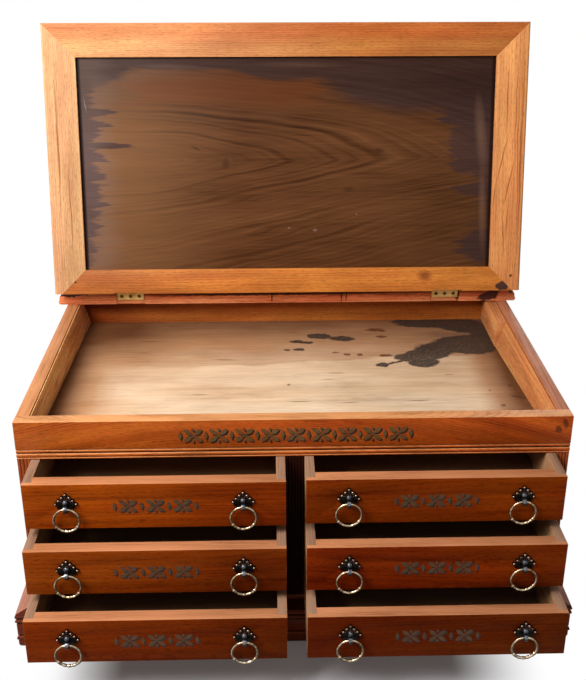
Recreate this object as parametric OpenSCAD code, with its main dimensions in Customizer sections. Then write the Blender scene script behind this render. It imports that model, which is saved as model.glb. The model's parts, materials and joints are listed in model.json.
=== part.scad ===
// Six-drawer oak spool cabinet with a framed lid over a shallow tray.
// Millimetres. +X points right, +Y to the back and +Z up.
// The origin is the middle of the footprint, on the surface that the case stands on.

/* [Case] */
// Width of the case over its side boards
case_w = 762; // [680:1:840]
// Depth of the case from the header's face to its back
case_d = 475; // [450:1:540]
// Thickness of the side boards and width of the corner stiles
side_t = 18.5; // [16:0.5:22]
// Thickness of the back board
back_t = 20; // [14:0.5:24]
// Width of the rebate in each side board that takes the back board
back_rebate = 10; // [6:0.5:12]
// Thickness of the bottom board
bottom_t = 12; // [8:0.5:16]
// Thickness of the upright board between the drawer columns
partition_t = 20; // [14:0.5:22]
// Glue line between two boards of the same assembly
glue_line = 0.1; // [0.05:0.05:0.3]

/* [Front frame] */
// Depth of the header, the stiles and the rails
front_t = 20; // [16:0.5:24]
// Height of the header
header_h = 56.5; // [48:0.5:70]
// Radius of the header's upper bead
header_bead_small = 2.2; // [1.6:0.1:2.8]
// Radius of the header's lower bead
header_bead_large = 3.3; // [2.4:0.1:4]
// Width of the quirk beside each header bead
quirk_w = 1.2; // [0.8:0.1:1.8]
// Width of the centre stile
centre_w = 26; // [24:0.5:34]
// Width that each reed aims at before the reeds are fitted to a stile
reed_aim = 4.4; // [3.5:0.1:6]
// Height of each rail between two drawers
rail_h = 13.5; // [10:0.5:18]
// Height of the sill rail that shows above the moulded base
sill_show = 7; // [4:0.5:12]

/* [Moulded base] */
// Height of the moulded base
base_h = 64; // [58:1:76]
// How far the base stands out from the case
base_proj = 25; // [22:0.5:32]
// How far the beads stand out from the flat face of the base
base_bead_out = 1.6; // [1:0.1:2.4]
// Radius of the two upper beads of the base
base_bead = 3.3; // [2.6:0.1:3.8]
// Radius of the lower bead of the base
base_low_bead = 3.8; // [3:0.1:4.4]
// Width of the quirk beside each upper bead of the base
base_quirk = 1; // [0.6:0.1:1.6]
// Width of the groove above the lower bead of the base
base_groove = 2; // [1:0.1:3]
// Height of the flat between the foot's curve and the lower bead
base_low_flat = 6; // [3:0.5:9]
// Radius that rounds the base under at the foot
base_foot_r = 10; // [6:0.5:12]
// Drop of the base's top surface from the case to its outer edge
base_top_drop = 2.4; // [1.5:0.1:4]

/* [Tray] */
// Depth of the tray from the top of the case
tray_depth = 46; // [38:1:48]
// Thickness of the tray floor
tray_floor_t = 8; // [5:0.5:8.5]
// Depth of the grooves that hold the tray floor
tray_groove = 6; // [4:0.5:8]
// Thickness of the linings at the header and along their top edge
lining_t = 2; // [1.5:0.5:4]
// Thickness of the left lining's foot at the back board
lining_foot_left = 14; // [6:0.5:18]
// Thickness of the right lining's foot at the corner block
lining_foot_right = 17; // [6:0.5:20]
// Distance from the top of the case to the top of the linings
lining_drop = 2; // [1:0.5:5]
// Length of the block in the right rear corner
block_l = 122; // [70:1:140]
// Thickness of the block in the right rear corner
block_t = 18; // [15:0.5:24]

/* [Lid] */
// Thickness of the lid's frame
lid_t = 21; // [18:0.5:25]
// How far the lid stands out from the case at the front and the sides
lid_over = 15.25; // [12:0.25:20]
// Width of the lid's front rail and side stiles
lid_frame_w = 53.5; // [48:0.5:65]
// Width of the lid's rear rail, which is narrower
lid_rear_w = 41; // [30:0.5:46]
// Width of the fixed strip that the hinges are screwed to
strip_w = 48; // [40:1:60]
// Clearance under the closed lid
lid_gap = 0.3; // [0.2:0.1:1]
// Distance of the lid panel from the underside of the frame
panel_recess = 5.5; // [4:0.5:7]
// Thickness of the lid panel
panel_t = 9; // [6:0.5:10]
// Depth of the groove that holds the lid panel
panel_groove = 8; // [6:0.5:12]
// Clearance between the panel's edge and the bottom of its groove
panel_play = 1; // [0.5:0.5:3]
// Height of the nose along the lid's moulded edge
nose_h = 8.4; // [7:0.2:10]
// Step from the nose to the foot of the curve above it
nose_step = 1.5; // [1:0.1:3]

/* [Hinges] */
// Distance of each hinge's middle from the middle of the case
hinge_x = 272; // [220:1:290]
// Length of each hinge
hinge_l = 45; // [38:1:60]
// Height of each leaf
leaf_h = 14; // [12:0.5:18]
// Thickness of each leaf
leaf_t = 1.8; // [1.4:0.1:2.4]
// Gap between the two leaves when the lid is closed
leaf_gap = 1; // [0.6:0.1:1.6]
// Radius of the knuckles
knuckle_r = 3.2; // [2.8:0.1:4]
// Height of the hinge pin's axis above the top of the lid
pin_rise = 1.5; // [1:0.1:2.5]
// Radius of the hinge pins
pin_r = 1.5; // [1.2:0.1:1.8]
// Running clearance round each hinge pin
pin_play = 0.05; // [0.02:0.01:0.1]
// Clearance at each end of a knuckle
knuckle_play = 0.3; // [0.2:0.1:0.6]
// Space at each end of the hinge in its mortise
mortise_play = 2; // [1:0.5:4]
// Space round the knuckles in the wood
knuckle_room = 0.5; // [0.3:0.1:1]
// Space round the hinge screws in their holes
screw_play = 0.1; // [0.05:0.05:0.3]
// Radius of the head of a hinge screw
screw_head_r = 3.2; // [2.4:0.1:3.4]
// Radius of the shank of a hinge screw
screw_r = 1.6; // [1.2:0.1:1.8]
// Length of a hinge screw
screw_l = 15; // [12:1:20]
// Distance between neighbouring hinge screws
screw_step = 15; // [12:0.5:16]

/* [Drawers] */
// Height of each drawer front
drawer_h = 68; // [60:0.5:76]
// Depth of a drawer from its face to its back
drawer_d = 435; // [380:1:440]
// Clearance on each side of a drawer
drawer_side_gap = 0.5; // [0.3:0.1:1]
// Clearance under a drawer
drawer_lift = 0.3; // [0.2:0.1:0.8]
// Clearance over a drawer
drawer_head = 1.2; // [0.8:0.1:2]
// Thickness of a drawer front
drawer_front_t = 20; // [16:0.5:24]
// Thickness of the wood left in front of a drawer side
front_lip = 7; // [5:0.5:10]
// Thickness of the drawer sides and backs
drawer_side_t = 12.5; // [10:0.5:15]
// Distance from the top of a drawer side to the top of its back
drawer_back_drop = 6; // [2:0.5:12]
// Thickness of a drawer bottom
drawer_bottom_t = 5; // [4:0.5:8]
// Height of the wood under a drawer bottom
drawer_bottom_up = 6; // [4:0.5:10]
// Depth of the grooves that hold a drawer bottom
drawer_groove = 6; // [4:0.5:8]
// Width of the runners that carry the drawers
runner_w = 25; // [20:1:35]

/* [Pulls and rings] */
// Distance of a pull's middle from the end of its drawer front
pull_inset = 57; // [45:1:80]
// Thickness of the pull's backplate
plate_t = 2; // [1.5:0.1:3]
// Half the width of the backplate between its outer beads
plate_half_w = 13.6; // [12:0.1:15]
// Height of the backplate's peak bead above the ring's axis
plate_peak = 19.3; // [18:0.1:22]
// Height of the outermost beads above the ring's axis
plate_wing = 5; // [4:0.1:6]
// Radius of the beads round the backplate
bead_r = 1.8; // [1.4:0.1:2.2]
// Radius of the boss in the middle of the backplate
boss_r = 4.2; // [3.6:0.1:4.4]
// Height of the boss above the ring's axis
boss_up = 9; // [8.8:0.1:10]
// How far the boss stands out from the drawer front
boss_out = 8.5; // [7:0.1:10]
// Distance of the ring's axis from the drawer front
eye_out = 7; // [6.5:0.1:9]
// Outer radius of the eye that holds the ring
eye_r = 5.2; // [4.8:0.1:5.6]
// Width of the eye
eye_w = 4.6; // [4:0.1:5]
// Clearance between the eye's bore and the ring's wire
eye_play = 0.45; // [0.35:0.05:0.6]
// Radius of the post that fixes a pull
post_r = 2; // [1.5:0.1:3]
// Length of the post inside the drawer front
post_l = 14; // [10:0.5:15]
// Space round the post in its hole
post_play = 0.1; // [0.05:0.05:0.3]
// Radius of a ring to the middle of its wire
ring_r = 17.1; // [15:0.1:20]
// Radius of a ring's wire
wire_r = 1.8; // [1.5:0.1:2]
// Radius of the thicker wire at the bottom of a ring
wire_low_r = 2.3; // [2:0.1:2.6]
// Radius of the collars at the ends of the thicker wire
collar_r = 2.7; // [2.4:0.1:3]
// Angle of the thicker wire
low_arc = 110; // [60:5:160]
// Angle of each collar
collar_arc = 7; // [4:1:10]

/* [Rest pose] */
// Angle that the lid stands at, from closed
lid_open = 101.2; // [0:0.1:110]
// How far the upper left drawer is pulled out
pull_upper_left = 65.5; // [0:0.5:340]
// How far the upper right drawer is pulled out
pull_upper_right = 62; // [0:0.5:340]
// How far the middle drawers are pulled out
pull_middle = 97.5; // [0:0.5:340]
// How far the lower drawers are pulled out
pull_lower = 135.5; // [0:0.5:340]

/* [Hidden] */
DRAWERS = ["lower_left", "lower_right", "middle_left", "middle_right", "upper_left", "upper_right"];
CASE_NODES = ["header", "corner_stiles", "centre_stile", "side_left", "side_right", "back_board",
    "tray_floor", "tray_linings", "hinge_strip", "partition", "drawer_rails", "drawer_runners",
    "bottom_board", "base_front", "base_sides"];
LID_NODES = ["lid_front_rail", "lid_rear_rail", "lid_stiles", "lid_panel"];
HINGE_NODES = ["hinge_leaves_case", "hinge_leaves_lid", "hinge_pins", "hinge_screws_case",
    "hinge_screws_lid"];
DRAWER_PARTS = ["front", "box", "bottom", "pulls", "ring_left", "ring_right"];

$fn = 48;
eps = 0.01; // lets a cutter run past the face that it cuts
lining_end_l = 1; // depth of the two ends that a lining spans
rows = 3;

// Places across and along the case
half_w = case_w / 2;
inner_half_w = half_w - side_t;
foot_d = case_d + base_proj;
back_y = foot_d / 2;
face_y = back_y - case_d;
frame_y = face_y + front_t;
back_in_y = back_y - back_t;

// Heights
opening_h = drawer_lift + drawer_h + drawer_head;
row_step = opening_h + rail_h;
sill_h = base_h + sill_show;
header_z = sill_h + rows * opening_h + (rows - 1) * rail_h;
case_h = header_z + header_h;
tray_z = case_h - tray_depth;
function row_z(row) = sill_h + row * row_step;

// Drawer places
column_w = inner_half_w - centre_w / 2;
drawer_w = column_w - 2 * drawer_side_gap;
function column_x(column) = (column == 0 ? -1 : 1) * (centre_w + column_w) / 2;
function drawer_z(row) = row_z(row) + drawer_lift;
function pulled(row, column) = row == 0 ? pull_lower : row == 1 ? pull_middle
    : column == 0 ? pull_upper_left : pull_upper_right;

// Lid and hinge places
lid_half_w = half_w + lid_over;
lid_front_y = face_y - lid_over;
hinge_y = back_y - strip_w;
lid_rear_y = hinge_y - leaf_gap / 2;
strip_front_y = hinge_y + leaf_gap / 2;
lid_z = case_h + lid_gap;
top_z = lid_z + lid_t;
pin_z = top_z + pin_rise;
knuckles = 5;
knuckle_l = hinge_l / knuckles;

// Pull and ring places on a drawer front
axis_up = drawer_h / 2;
bore_r = wire_r + eye_play;
beads_side = 3;

// Colours
OAK = "#b4652a";
OAK_LIGHT = "#c98a4f";
OAK_DARK = "#8f4a1c";
WALNUT = "#5b3f22";
PINE = "#cdb188";
BRASS = "#b9983f";
BRONZE = "#4a4538";
NICKEL = "#a8a296";

// Runs a profile along X. The profile's x becomes Y and its y becomes Z.
module along_x(length) {
    translate([-length / 2, 0, 0]) rotate([90, 0, 90]) linear_extrude(length) children();
}

// Runs a profile along Y from y = 0. The profile's x becomes X and its y becomes Z.
module along_y(length) {
    translate([0, length, 0]) rotate([90, 0, 0]) linear_extrude(length) children();
}

// A board between two corners
module board(low, high) {
    translate(low) cube(high - low);
}

// The header's cross section: a flat face over two quirked beads
module header_section() {
    band = 2 * (header_bead_small + header_bead_large) + 3 * quirk_w;
    neck = header_bead_large;
    difference() {
        square([front_t, header_h]);
        translate([-eps, quirk_w]) square([neck + eps, band - quirk_w]);
    }
    translate([header_bead_large, quirk_w + header_bead_large]) circle(header_bead_large);
    translate([header_bead_small, 2 * quirk_w + 2 * header_bead_large + header_bead_small])
        circle(header_bead_small);
    translate([header_bead_small, quirk_w + header_bead_large])
        square([neck, 2 * header_bead_small + header_bead_large + quirk_w]);
}

module header() {
    color(OAK) difference() {
        translate([0, face_y, header_z]) along_x(case_w) header_section();
        board([-inner_half_w - tray_groove, frame_y - tray_groove, tray_z - tray_floor_t],
            [inner_half_w + tray_groove, frame_y + eps, tray_z]);
    }
}

// A stile's plan: a row of reeds across its front, fitted to its width
module reeded_plan(width) {
    reeds = round(width / reed_aim);
    pitch = width / reeds;
    reed_r = pitch * 0.56; // the reeds meet in open valleys
    intersection() {
        square([width, front_t]);
        union() {
            translate([0, reed_r]) square([width, front_t - reed_r]);
            for (i = [0 : reeds - 1]) translate([(i + 0.5) * pitch, reed_r]) circle(reed_r);
        }
    }
}

module corner_stiles() {
    color(OAK_DARK) for (left = [-half_w, inner_half_w])
        translate([left, face_y, 0]) linear_extrude(header_z) reeded_plan(side_t);
}

module centre_stile() {
    color(OAK_DARK) translate([-centre_w / 2, face_y, sill_h])
        linear_extrude(header_z - sill_h) reeded_plan(centre_w);
}

// A side board, grooved for the tray floor and rebated for the back board
module side_board() {
    difference() {
        board([inner_half_w, frame_y, 0], [half_w, back_y, case_h]);
        board([inner_half_w - eps, frame_y - eps, tray_z - tray_floor_t],
            [inner_half_w + tray_groove, back_in_y, tray_z]);
        board([inner_half_w - eps, back_in_y, -eps],
            [inner_half_w + back_rebate, back_y + eps, case_h + eps]);
    }
}

module side_left() {
    color(OAK) mirror([1, 0, 0]) side_board();
}

module side_right() {
    color(OAK) side_board();
}

module back_board() {
    reach = inner_half_w + back_rebate;
    color(OAK) board([-reach, back_in_y, 0], [reach, back_y, case_h]);
}

module tray_floor() {
    reach = inner_half_w + tray_groove;
    color(PINE) board([-reach, frame_y - tray_groove, tray_z - tray_floor_t],
        [reach, back_in_y, tray_z]);
}

// One side's lining: a strip whose foot gets thicker from the header back to rear_y
module lining(side, foot, rear_y) {
    mirror([side < 0 ? 1 : 0, 0, 0]) hull() {
        lining_end(lining_t, frame_y + lining_end_l);
        lining_end(foot, rear_y);
    }
}

// The end of a lining that faces the back at y
module lining_end(foot, y) {
    top = case_h - lining_drop;
    translate([0, y, 0]) rotate([90, 0, 0]) linear_extrude(lining_end_l)
        polygon([[inner_half_w, tray_z], [inner_half_w, top], [inner_half_w - lining_t, top],
            [inner_half_w - foot, tray_z]]);
}

module tray_linings() {
    block_y = back_in_y - block_l;
    color(OAK_LIGHT) lining(-1, lining_foot_left, back_in_y);
    color(OAK_LIGHT) lining(1, lining_foot_right, block_y - glue_line);
    color(OAK_LIGHT) board([inner_half_w - block_t, block_y, tray_z],
        [inner_half_w, back_in_y, case_h - lining_drop]);
}

module partition() {
    color(OAK) board([-partition_t / 2, frame_y, bottom_t],
        [partition_t / 2, back_in_y, tray_z - tray_floor_t]);
}

module drawer_rails() {
    color(OAK) board([-inner_half_w, face_y, 0], [inner_half_w, frame_y, sill_h]);
    color(OAK) for (row = [1 : rows - 1]) for (column = [0, 1])
        translate([column_x(column) - column_w / 2, face_y, row_z(row) - rail_h])
            cube([column_w, front_t, rail_h]);
}

module drawer_runners() {
    lap = (centre_w - partition_t) / 2;
    color(PINE) for (row = [0 : rows - 1]) for (side = [0, 1]) mirror([side, 0, 0]) {
        board([inner_half_w - runner_w, frame_y, row_z(row) - rail_h],
            [inner_half_w, back_in_y, row_z(row)]);
        board([partition_t / 2, frame_y, row_z(row) - rail_h],
            [partition_t / 2 + lap + runner_w, back_in_y, row_z(row)]);
    }
}

module bottom_board() {
    color(PINE) board([-inner_half_w, frame_y, 0], [inner_half_w, back_in_y, bottom_t]);
}

// The base's cross section. Its x runs outwards from the case, its y upwards.
module base_section() {
    flat = base_proj - base_bead_out;
    neck = flat - base_bead_out;
    shoulder = base_h - base_top_drop;
    upper_z = shoulder - base_bead - base_quirk;
    lower_z = upper_z - 2 * base_bead - base_quirk;
    band_z = lower_z - base_bead - base_quirk;
    low_z = base_foot_r + base_low_bead + base_low_flat;
    difference() {
        union() {
            translate([0, base_foot_r]) square([flat, shoulder - base_foot_r]);
            square([flat - base_foot_r, shoulder]);
            translate([flat - base_foot_r, base_foot_r]) circle(base_foot_r);
            polygon([[0, shoulder - eps], [flat, shoulder - eps], [flat, shoulder],
                [0, base_h]]);
        }
        translate([neck, band_z]) square([base_proj, shoulder - base_quirk - band_z]);
        translate([neck, low_z - base_low_bead])
            square([base_proj, 2 * base_low_bead + base_groove]);
    }
    for (z = [upper_z, lower_z]) translate([base_proj - base_bead, z]) circle(base_bead);
    translate([base_proj - base_low_bead, low_z]) circle(base_low_bead);
}

// Everything in front of the mitre line through one front corner of the base
module base_mitre_plan() {
    reach = half_w + base_proj;
    polygon([[-reach, face_y - base_proj], [reach, face_y - base_proj], [half_w, face_y],
        [-half_w, face_y]]);
}

module base_front() {
    color(OAK_DARK) intersection() {
        translate([0, face_y, 0]) mirror([0, 1, 0]) along_x(2 * (half_w + base_proj))
            base_section();
        translate([0, 0, -eps]) linear_extrude(base_h + 1) base_mitre_plan();
    }
}

module base_sides() {
    color(OAK_DARK) for (side = [0, 1]) mirror([side, 0, 0]) difference() {
        translate([half_w, face_y - base_proj, 0]) along_y(foot_d) base_section();
        translate([0, 0, -1]) linear_extrude(base_h + 2)
            polygon([[half_w - 1, face_y + 1], [half_w - 1, face_y - base_proj - 1],
                [half_w + base_proj + 1, face_y - base_proj - 1], [half_w - 1, face_y + 1]]);
    }
}

// The moulded edge's section. Its x runs outwards to the nose, its y upwards.
module moulded_section(width, thick) {
    nose_r = nose_h / 2;
    curve_r = thick - nose_h;
    square([width - nose_step - curve_r, thick]);
    square([width - nose_r, nose_h]);
    translate([width - nose_r, nose_r]) circle(nose_r);
    translate([width - nose_step - curve_r, nose_h]) intersection() {
        circle(curve_r);
        square(curve_r);
    }
}

// A lid member's section: the moulded edge outside and the panel's groove inside
module lid_section() {
    difference() {
        moulded_section(lid_frame_w, lid_t);
        translate([-eps, panel_recess]) square([panel_groove + eps, panel_t]);
    }
}

// Turns what is drawn for the closed lid about the hinge pins to where the lid stands
module at_lid_angle() {
    translate([0, hinge_y, pin_z]) rotate([-lid_open, 0, 0]) translate([0, -hinge_y, -pin_z])
        children();
}

// The slot for one hinge in an edge, from below the leaf to above the knuckles
module hinge_mortise(x, toward) {
    half_l = hinge_l / 2 + mortise_play;
    wood_y = toward * leaf_gap / 2;
    near = min(wood_y, wood_y + toward * leaf_t);
    translate([x - half_l, hinge_y + near, lid_z - lid_t])
        cube([2 * half_l, leaf_t, 3 * lid_t]);
    translate([x - half_l, hinge_y, pin_z]) rotate([0, 90, 0])
        cylinder(r = knuckle_r + knuckle_room, h = 2 * half_l);
}

// The mortises and screw holes in the wood behind one side's leaves
module hinge_cuts(toward) {
    for (x = [-hinge_x, hinge_x]) {
        hinge_mortise(x, toward);
        for (i = [-1 : 1]) translate([x + i * screw_step, hinge_y + toward * leaf_gap / 2,
            top_z - leaf_h / 2]) rotate([toward * -90, 0, 0])
            cylinder(r = screw_r + screw_play, h = screw_l + 1);
    }
}

module lid_front_rail() {
    reach = lid_half_w - lid_frame_w;
    color(OAK_LIGHT) at_lid_angle() intersection() {
        translate([0, lid_front_y + lid_frame_w, lid_z]) mirror([0, 1, 0])
            along_x(2 * lid_half_w) lid_section();
        translate([0, 0, lid_z - 1]) linear_extrude(lid_t + 2) polygon([
            [-lid_half_w, lid_front_y], [lid_half_w, lid_front_y],
            [reach, lid_front_y + lid_frame_w], [-reach, lid_front_y + lid_frame_w]]);
    }
}

module lid_rear_rail() {
    reach = lid_half_w - lid_frame_w;
    color(OAK_LIGHT) at_lid_angle() difference() {
        translate([0, 0, lid_z]) linear_extrude(lid_t) polygon([
            [-reach, lid_rear_y - lid_rear_w], [reach, lid_rear_y - lid_rear_w],
            [reach + lid_rear_w, lid_rear_y], [-reach - lid_rear_w, lid_rear_y]]);
        board([-lid_half_w, lid_rear_y - lid_rear_w - 1, lid_z + panel_recess],
            [lid_half_w, lid_rear_y - lid_rear_w + panel_groove, lid_z + panel_recess + panel_t]);
        hinge_cuts(-1);
    }
}

module lid_stiles() {
    reach = lid_half_w - lid_frame_w;
    color(OAK_LIGHT) at_lid_angle() for (side = [0, 1]) mirror([side, 0, 0]) intersection() {
        translate([reach, lid_front_y, lid_z]) along_y(lid_rear_y - lid_front_y) lid_section();
        translate([0, 0, lid_z - 1]) linear_extrude(lid_t + 2) polygon([
            [reach, lid_front_y + lid_frame_w], [lid_half_w, lid_front_y],
            [lid_half_w, lid_rear_y], [reach + lid_rear_w, lid_rear_y],
            [reach, lid_rear_y - lid_rear_w]]);
    }
}

module lid_panel() {
    edge = panel_groove - panel_play;
    reach = lid_half_w - lid_frame_w + edge;
    color(WALNUT) at_lid_angle() board(
        [-reach, lid_front_y + lid_frame_w - edge, lid_z + panel_recess],
        [reach, lid_rear_y - lid_rear_w + edge, lid_z + panel_recess + panel_t]);
}

module hinge_strip() {
    thick = top_z - case_h;
    length = back_y - strip_front_y;
    color(OAK) difference() {
        union() {
            board([-half_w, strip_front_y, case_h], [half_w, back_y, top_z]);
            for (side = [0, 1]) mirror([side, 0, 0])
                translate([half_w - lid_over, strip_front_y, case_h]) along_y(length)
                    moulded_section(2 * lid_over, thick);
        }
        hinge_cuts(1);
    }
}

// One leaf with its knuckles. Toward is 1 for the case's leaf and -1 for the lid's.
module hinge_leaf(toward) {
    mine = [for (i = [0 : knuckles - 1]) if (i % 2 == (toward > 0 ? 0 : 1)) i];
    plate_top = pin_z - knuckle_r - knuckle_play;
    near = min(toward * leaf_gap / 2, toward * (leaf_gap / 2 + leaf_t));
    difference() {
        union() {
            translate([-hinge_l / 2, hinge_y + near, top_z - leaf_h])
                cube([hinge_l, leaf_t, plate_top - top_z + leaf_h]);
            for (i = mine) translate([-hinge_l / 2 + i * knuckle_l + knuckle_play / 2, 0, 0]) {
                translate([0, hinge_y + near, plate_top - eps])
                    cube([knuckle_l - knuckle_play, leaf_t, pin_z - plate_top]);
                translate([0, hinge_y, pin_z]) rotate([0, 90, 0])
                    cylinder(r = knuckle_r, h = knuckle_l - knuckle_play);
            }
        }
        translate([-hinge_l, hinge_y, pin_z]) rotate([0, 90, 0])
            cylinder(r = pin_r + pin_play, h = 2 * hinge_l);
        for (i = [-1 : 1]) translate([i * screw_step, hinge_y + toward * leaf_gap / 2,
            top_z - leaf_h / 2]) rotate([toward * -90, 0, 0]) {
            translate([0, 0, -eps]) cylinder(r = screw_r + screw_play, h = leaf_t + 1);
            translate([0, 0, -eps])
                cylinder(r1 = screw_head_r + screw_play, r2 = screw_r + screw_play, h = leaf_t);
        }
    }
}

module hinge_leaves_case() {
    color(BRASS) for (x = [-hinge_x, hinge_x]) translate([x, 0, 0]) hinge_leaf(1);
}

module hinge_leaves_lid() {
    color(BRASS) at_lid_angle() for (x = [-hinge_x, hinge_x])
        translate([x, 0, 0]) hinge_leaf(-1);
}

module hinge_pins() {
    color(BRASS) for (x = [-hinge_x, hinge_x])
        translate([x - hinge_l / 2, hinge_y, pin_z]) rotate([0, 90, 0])
            cylinder(r = pin_r, h = hinge_l);
}

// The countersunk screws of one side's leaves
module leaf_screws(toward) {
    for (x = [-hinge_x, hinge_x]) for (i = [-1 : 1])
        translate([x + i * screw_step, hinge_y + toward * leaf_gap / 2, top_z - leaf_h / 2])
            rotate([toward * -90, 0, 0]) {
                cylinder(r1 = screw_head_r, r2 = screw_r, h = leaf_t);
                cylinder(r = screw_r, h = screw_l);
            }
}

module hinge_screws_case() {
    color(BRASS) leaf_screws(1);
}

module hinge_screws_lid() {
    color(BRASS) at_lid_angle() leaf_screws(-1);
}

// Puts a drawer's pieces, drawn from the lower middle of its face, where it is pulled out to
module in_drawer_place(row, column) {
    translate([column_x(column), face_y - pulled(row, column), drawer_z(row)]) children();
}

// Where the two pulls are on a drawer front
function pull_xs() = [-drawer_w / 2 + pull_inset, drawer_w / 2 - pull_inset];

module drawer_front() {
    side_x = drawer_w / 2 - drawer_side_t;
    color(OAK_DARK) difference() {
        translate([-drawer_w / 2, 0, 0]) cube([drawer_w, drawer_front_t, drawer_h]);
        for (side = [0, 1]) mirror([side, 0, 0])
            translate([side_x, front_lip, -eps])
                cube([drawer_w, drawer_front_t, drawer_h + 2 * eps]);
        translate([-drawer_w / 2, drawer_front_t - drawer_groove, drawer_bottom_up])
            cube([drawer_w, drawer_groove + eps, drawer_bottom_t]);
        for (x = pull_xs()) translate([x, -eps, axis_up + boss_up]) rotate([-90, 0, 0])
            cylinder(r = post_r + post_play, h = post_l + 1);
    }
}

module drawer_box() {
    side_x = drawer_w / 2 - drawer_side_t;
    back_top = drawer_h - drawer_back_drop;
    bottom_top = drawer_bottom_up + drawer_bottom_t;
    color(OAK_LIGHT) for (side = [0, 1]) mirror([side, 0, 0]) difference() {
        board([side_x, front_lip, 0], [drawer_w / 2, drawer_d, drawer_h]);
        board([side_x - eps, front_lip - eps, drawer_bottom_up],
            [side_x + drawer_groove, drawer_d + eps, bottom_top]);
    }
    color(OAK_LIGHT) board([glue_line - side_x, drawer_d - drawer_side_t, bottom_top],
        [side_x - glue_line, drawer_d, back_top]);
}

module drawer_bottom() {
    reach = drawer_w / 2 - drawer_side_t + drawer_groove;
    inner = drawer_w / 2 - drawer_side_t;
    color(PINE) board([-reach, drawer_front_t, drawer_bottom_up],
        [reach, drawer_d, drawer_bottom_up + drawer_bottom_t]);
    color(PINE) board([-inner, drawer_front_t - drawer_groove, drawer_bottom_up],
        [inner, drawer_front_t, drawer_bottom_up + drawer_bottom_t]);
}

// Beads from the peak of the backplate down one side, in a shallow bow
function bead_place(i) = [plate_half_w * pow(i / beads_side, 0.92),
    plate_peak - (plate_peak - plate_wing) * pow(i / beads_side, 1.12)];

// The backplate's outline: a beaded peak over two wings that draw in to the eye
module plate_outline() {
    foot_x = 0.72 * plate_half_w;
    foot_drop = 1.5;
    wing_r = 2.6;
    bead_rim = 0.5;
    bead_points = [for (i = [-beads_side : beads_side])
        [sign(i) * bead_place(abs(i))[0], bead_place(abs(i))[1]]];
    polygon(concat(bead_points, [[foot_x, -foot_drop], [eye_w / 2, -eye_r + bead_rim],
        [-eye_w / 2, -eye_r + bead_rim], [-foot_x, -foot_drop]]));
    for (point = bead_points) translate(point) circle(bead_r + bead_rim);
    for (side = [-1, 1]) translate([side * foot_x, wing_r - 1.4 * foot_drop]) circle(wing_r);
}

// A pull's casting, drawn about the ring's axis with y = 0 on the drawer front
module pull_casting() {
    rotate([90, 0, 0]) linear_extrude(plate_t) plate_outline();
    for (i = [-beads_side : beads_side])
        translate([sign(i) * bead_place(abs(i))[0], -plate_t, bead_place(abs(i))[1]])
            sphere(bead_r);
    translate([0, eps, boss_up]) rotate([90, 0, 0])
        cylinder(r = boss_r, h = boss_out - boss_r + eps);
    translate([0, boss_r - boss_out, boss_up]) sphere(boss_r);
    translate([0, 0, boss_up]) rotate([-90, 0, 0]) cylinder(r = post_r, h = post_l);
    difference() {
        union() {
            translate([-eye_w / 2, -eye_out, 0]) rotate([0, 90, 0])
                cylinder(r = eye_r, h = eye_w);
            translate([-eye_w / 2, -eye_out, -eye_r]) cube([eye_w, eye_out, boss_up + eye_r]);
        }
        translate([-eye_w, -eye_out, 0]) rotate([0, 90, 0])
            cylinder(r = bore_r, h = 2 * eye_w);
        translate([-eye_w, -eye_out - eye_r, boss_up - boss_r])
            cube([2 * eye_w, eye_r, 2 * boss_r]);
    }
}

module drawer_pulls() {
    color(BRONZE) for (x = pull_xs()) translate([x, 0, axis_up]) pull_casting();
}

// A ring handle, hung from the origin: thin wire with a thicker collared part below
module ring() {
    translate([0, 0, -ring_r]) rotate([90, 0, 0]) {
        rotate_extrude() translate([ring_r, 0]) circle(wire_r, $fn = 24);
        rotate([0, 0, -90 - low_arc / 2]) rotate_extrude(angle = low_arc)
            translate([ring_r, 0]) circle(wire_low_r, $fn = 24);
        for (end = [-low_arc / 2, low_arc / 2])
            rotate([0, 0, -90 + end - collar_arc / 2]) rotate_extrude(angle = collar_arc)
                translate([ring_r, 0]) circle(collar_r, $fn = 24);
    }
}

module drawer_ring(side) {
    color(NICKEL) translate([pull_xs()[side], -eye_out, axis_up]) ring();
}

module drawer_piece(piece) {
    if (piece == "front") drawer_front();
    if (piece == "box") drawer_box();
    if (piece == "bottom") drawer_bottom();
    if (piece == "pulls") drawer_pulls();
    if (piece == "ring_left") drawer_ring(0);
    if (piece == "ring_right") drawer_ring(1);
}

header();
corner_stiles();
centre_stile();
side_left();
side_right();
back_board();
tray_floor();
tray_linings();
hinge_strip();
partition();
drawer_rails();
drawer_runners();
bottom_board();
base_front();
base_sides();
lid_front_rail();
lid_rear_rail();
lid_stiles();
lid_panel();
hinge_leaves_case();
hinge_leaves_lid();
hinge_pins();
hinge_screws_case();
hinge_screws_lid();
for (i = [0 : len(DRAWERS) - 1]) for (piece = DRAWER_PARTS)
    in_drawer_place(floor(i / 2), i % 2) drawer_piece(piece);
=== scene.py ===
import json
import math

import bmesh
import bpy
from mathutils import Euler, Matrix, Vector

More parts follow.
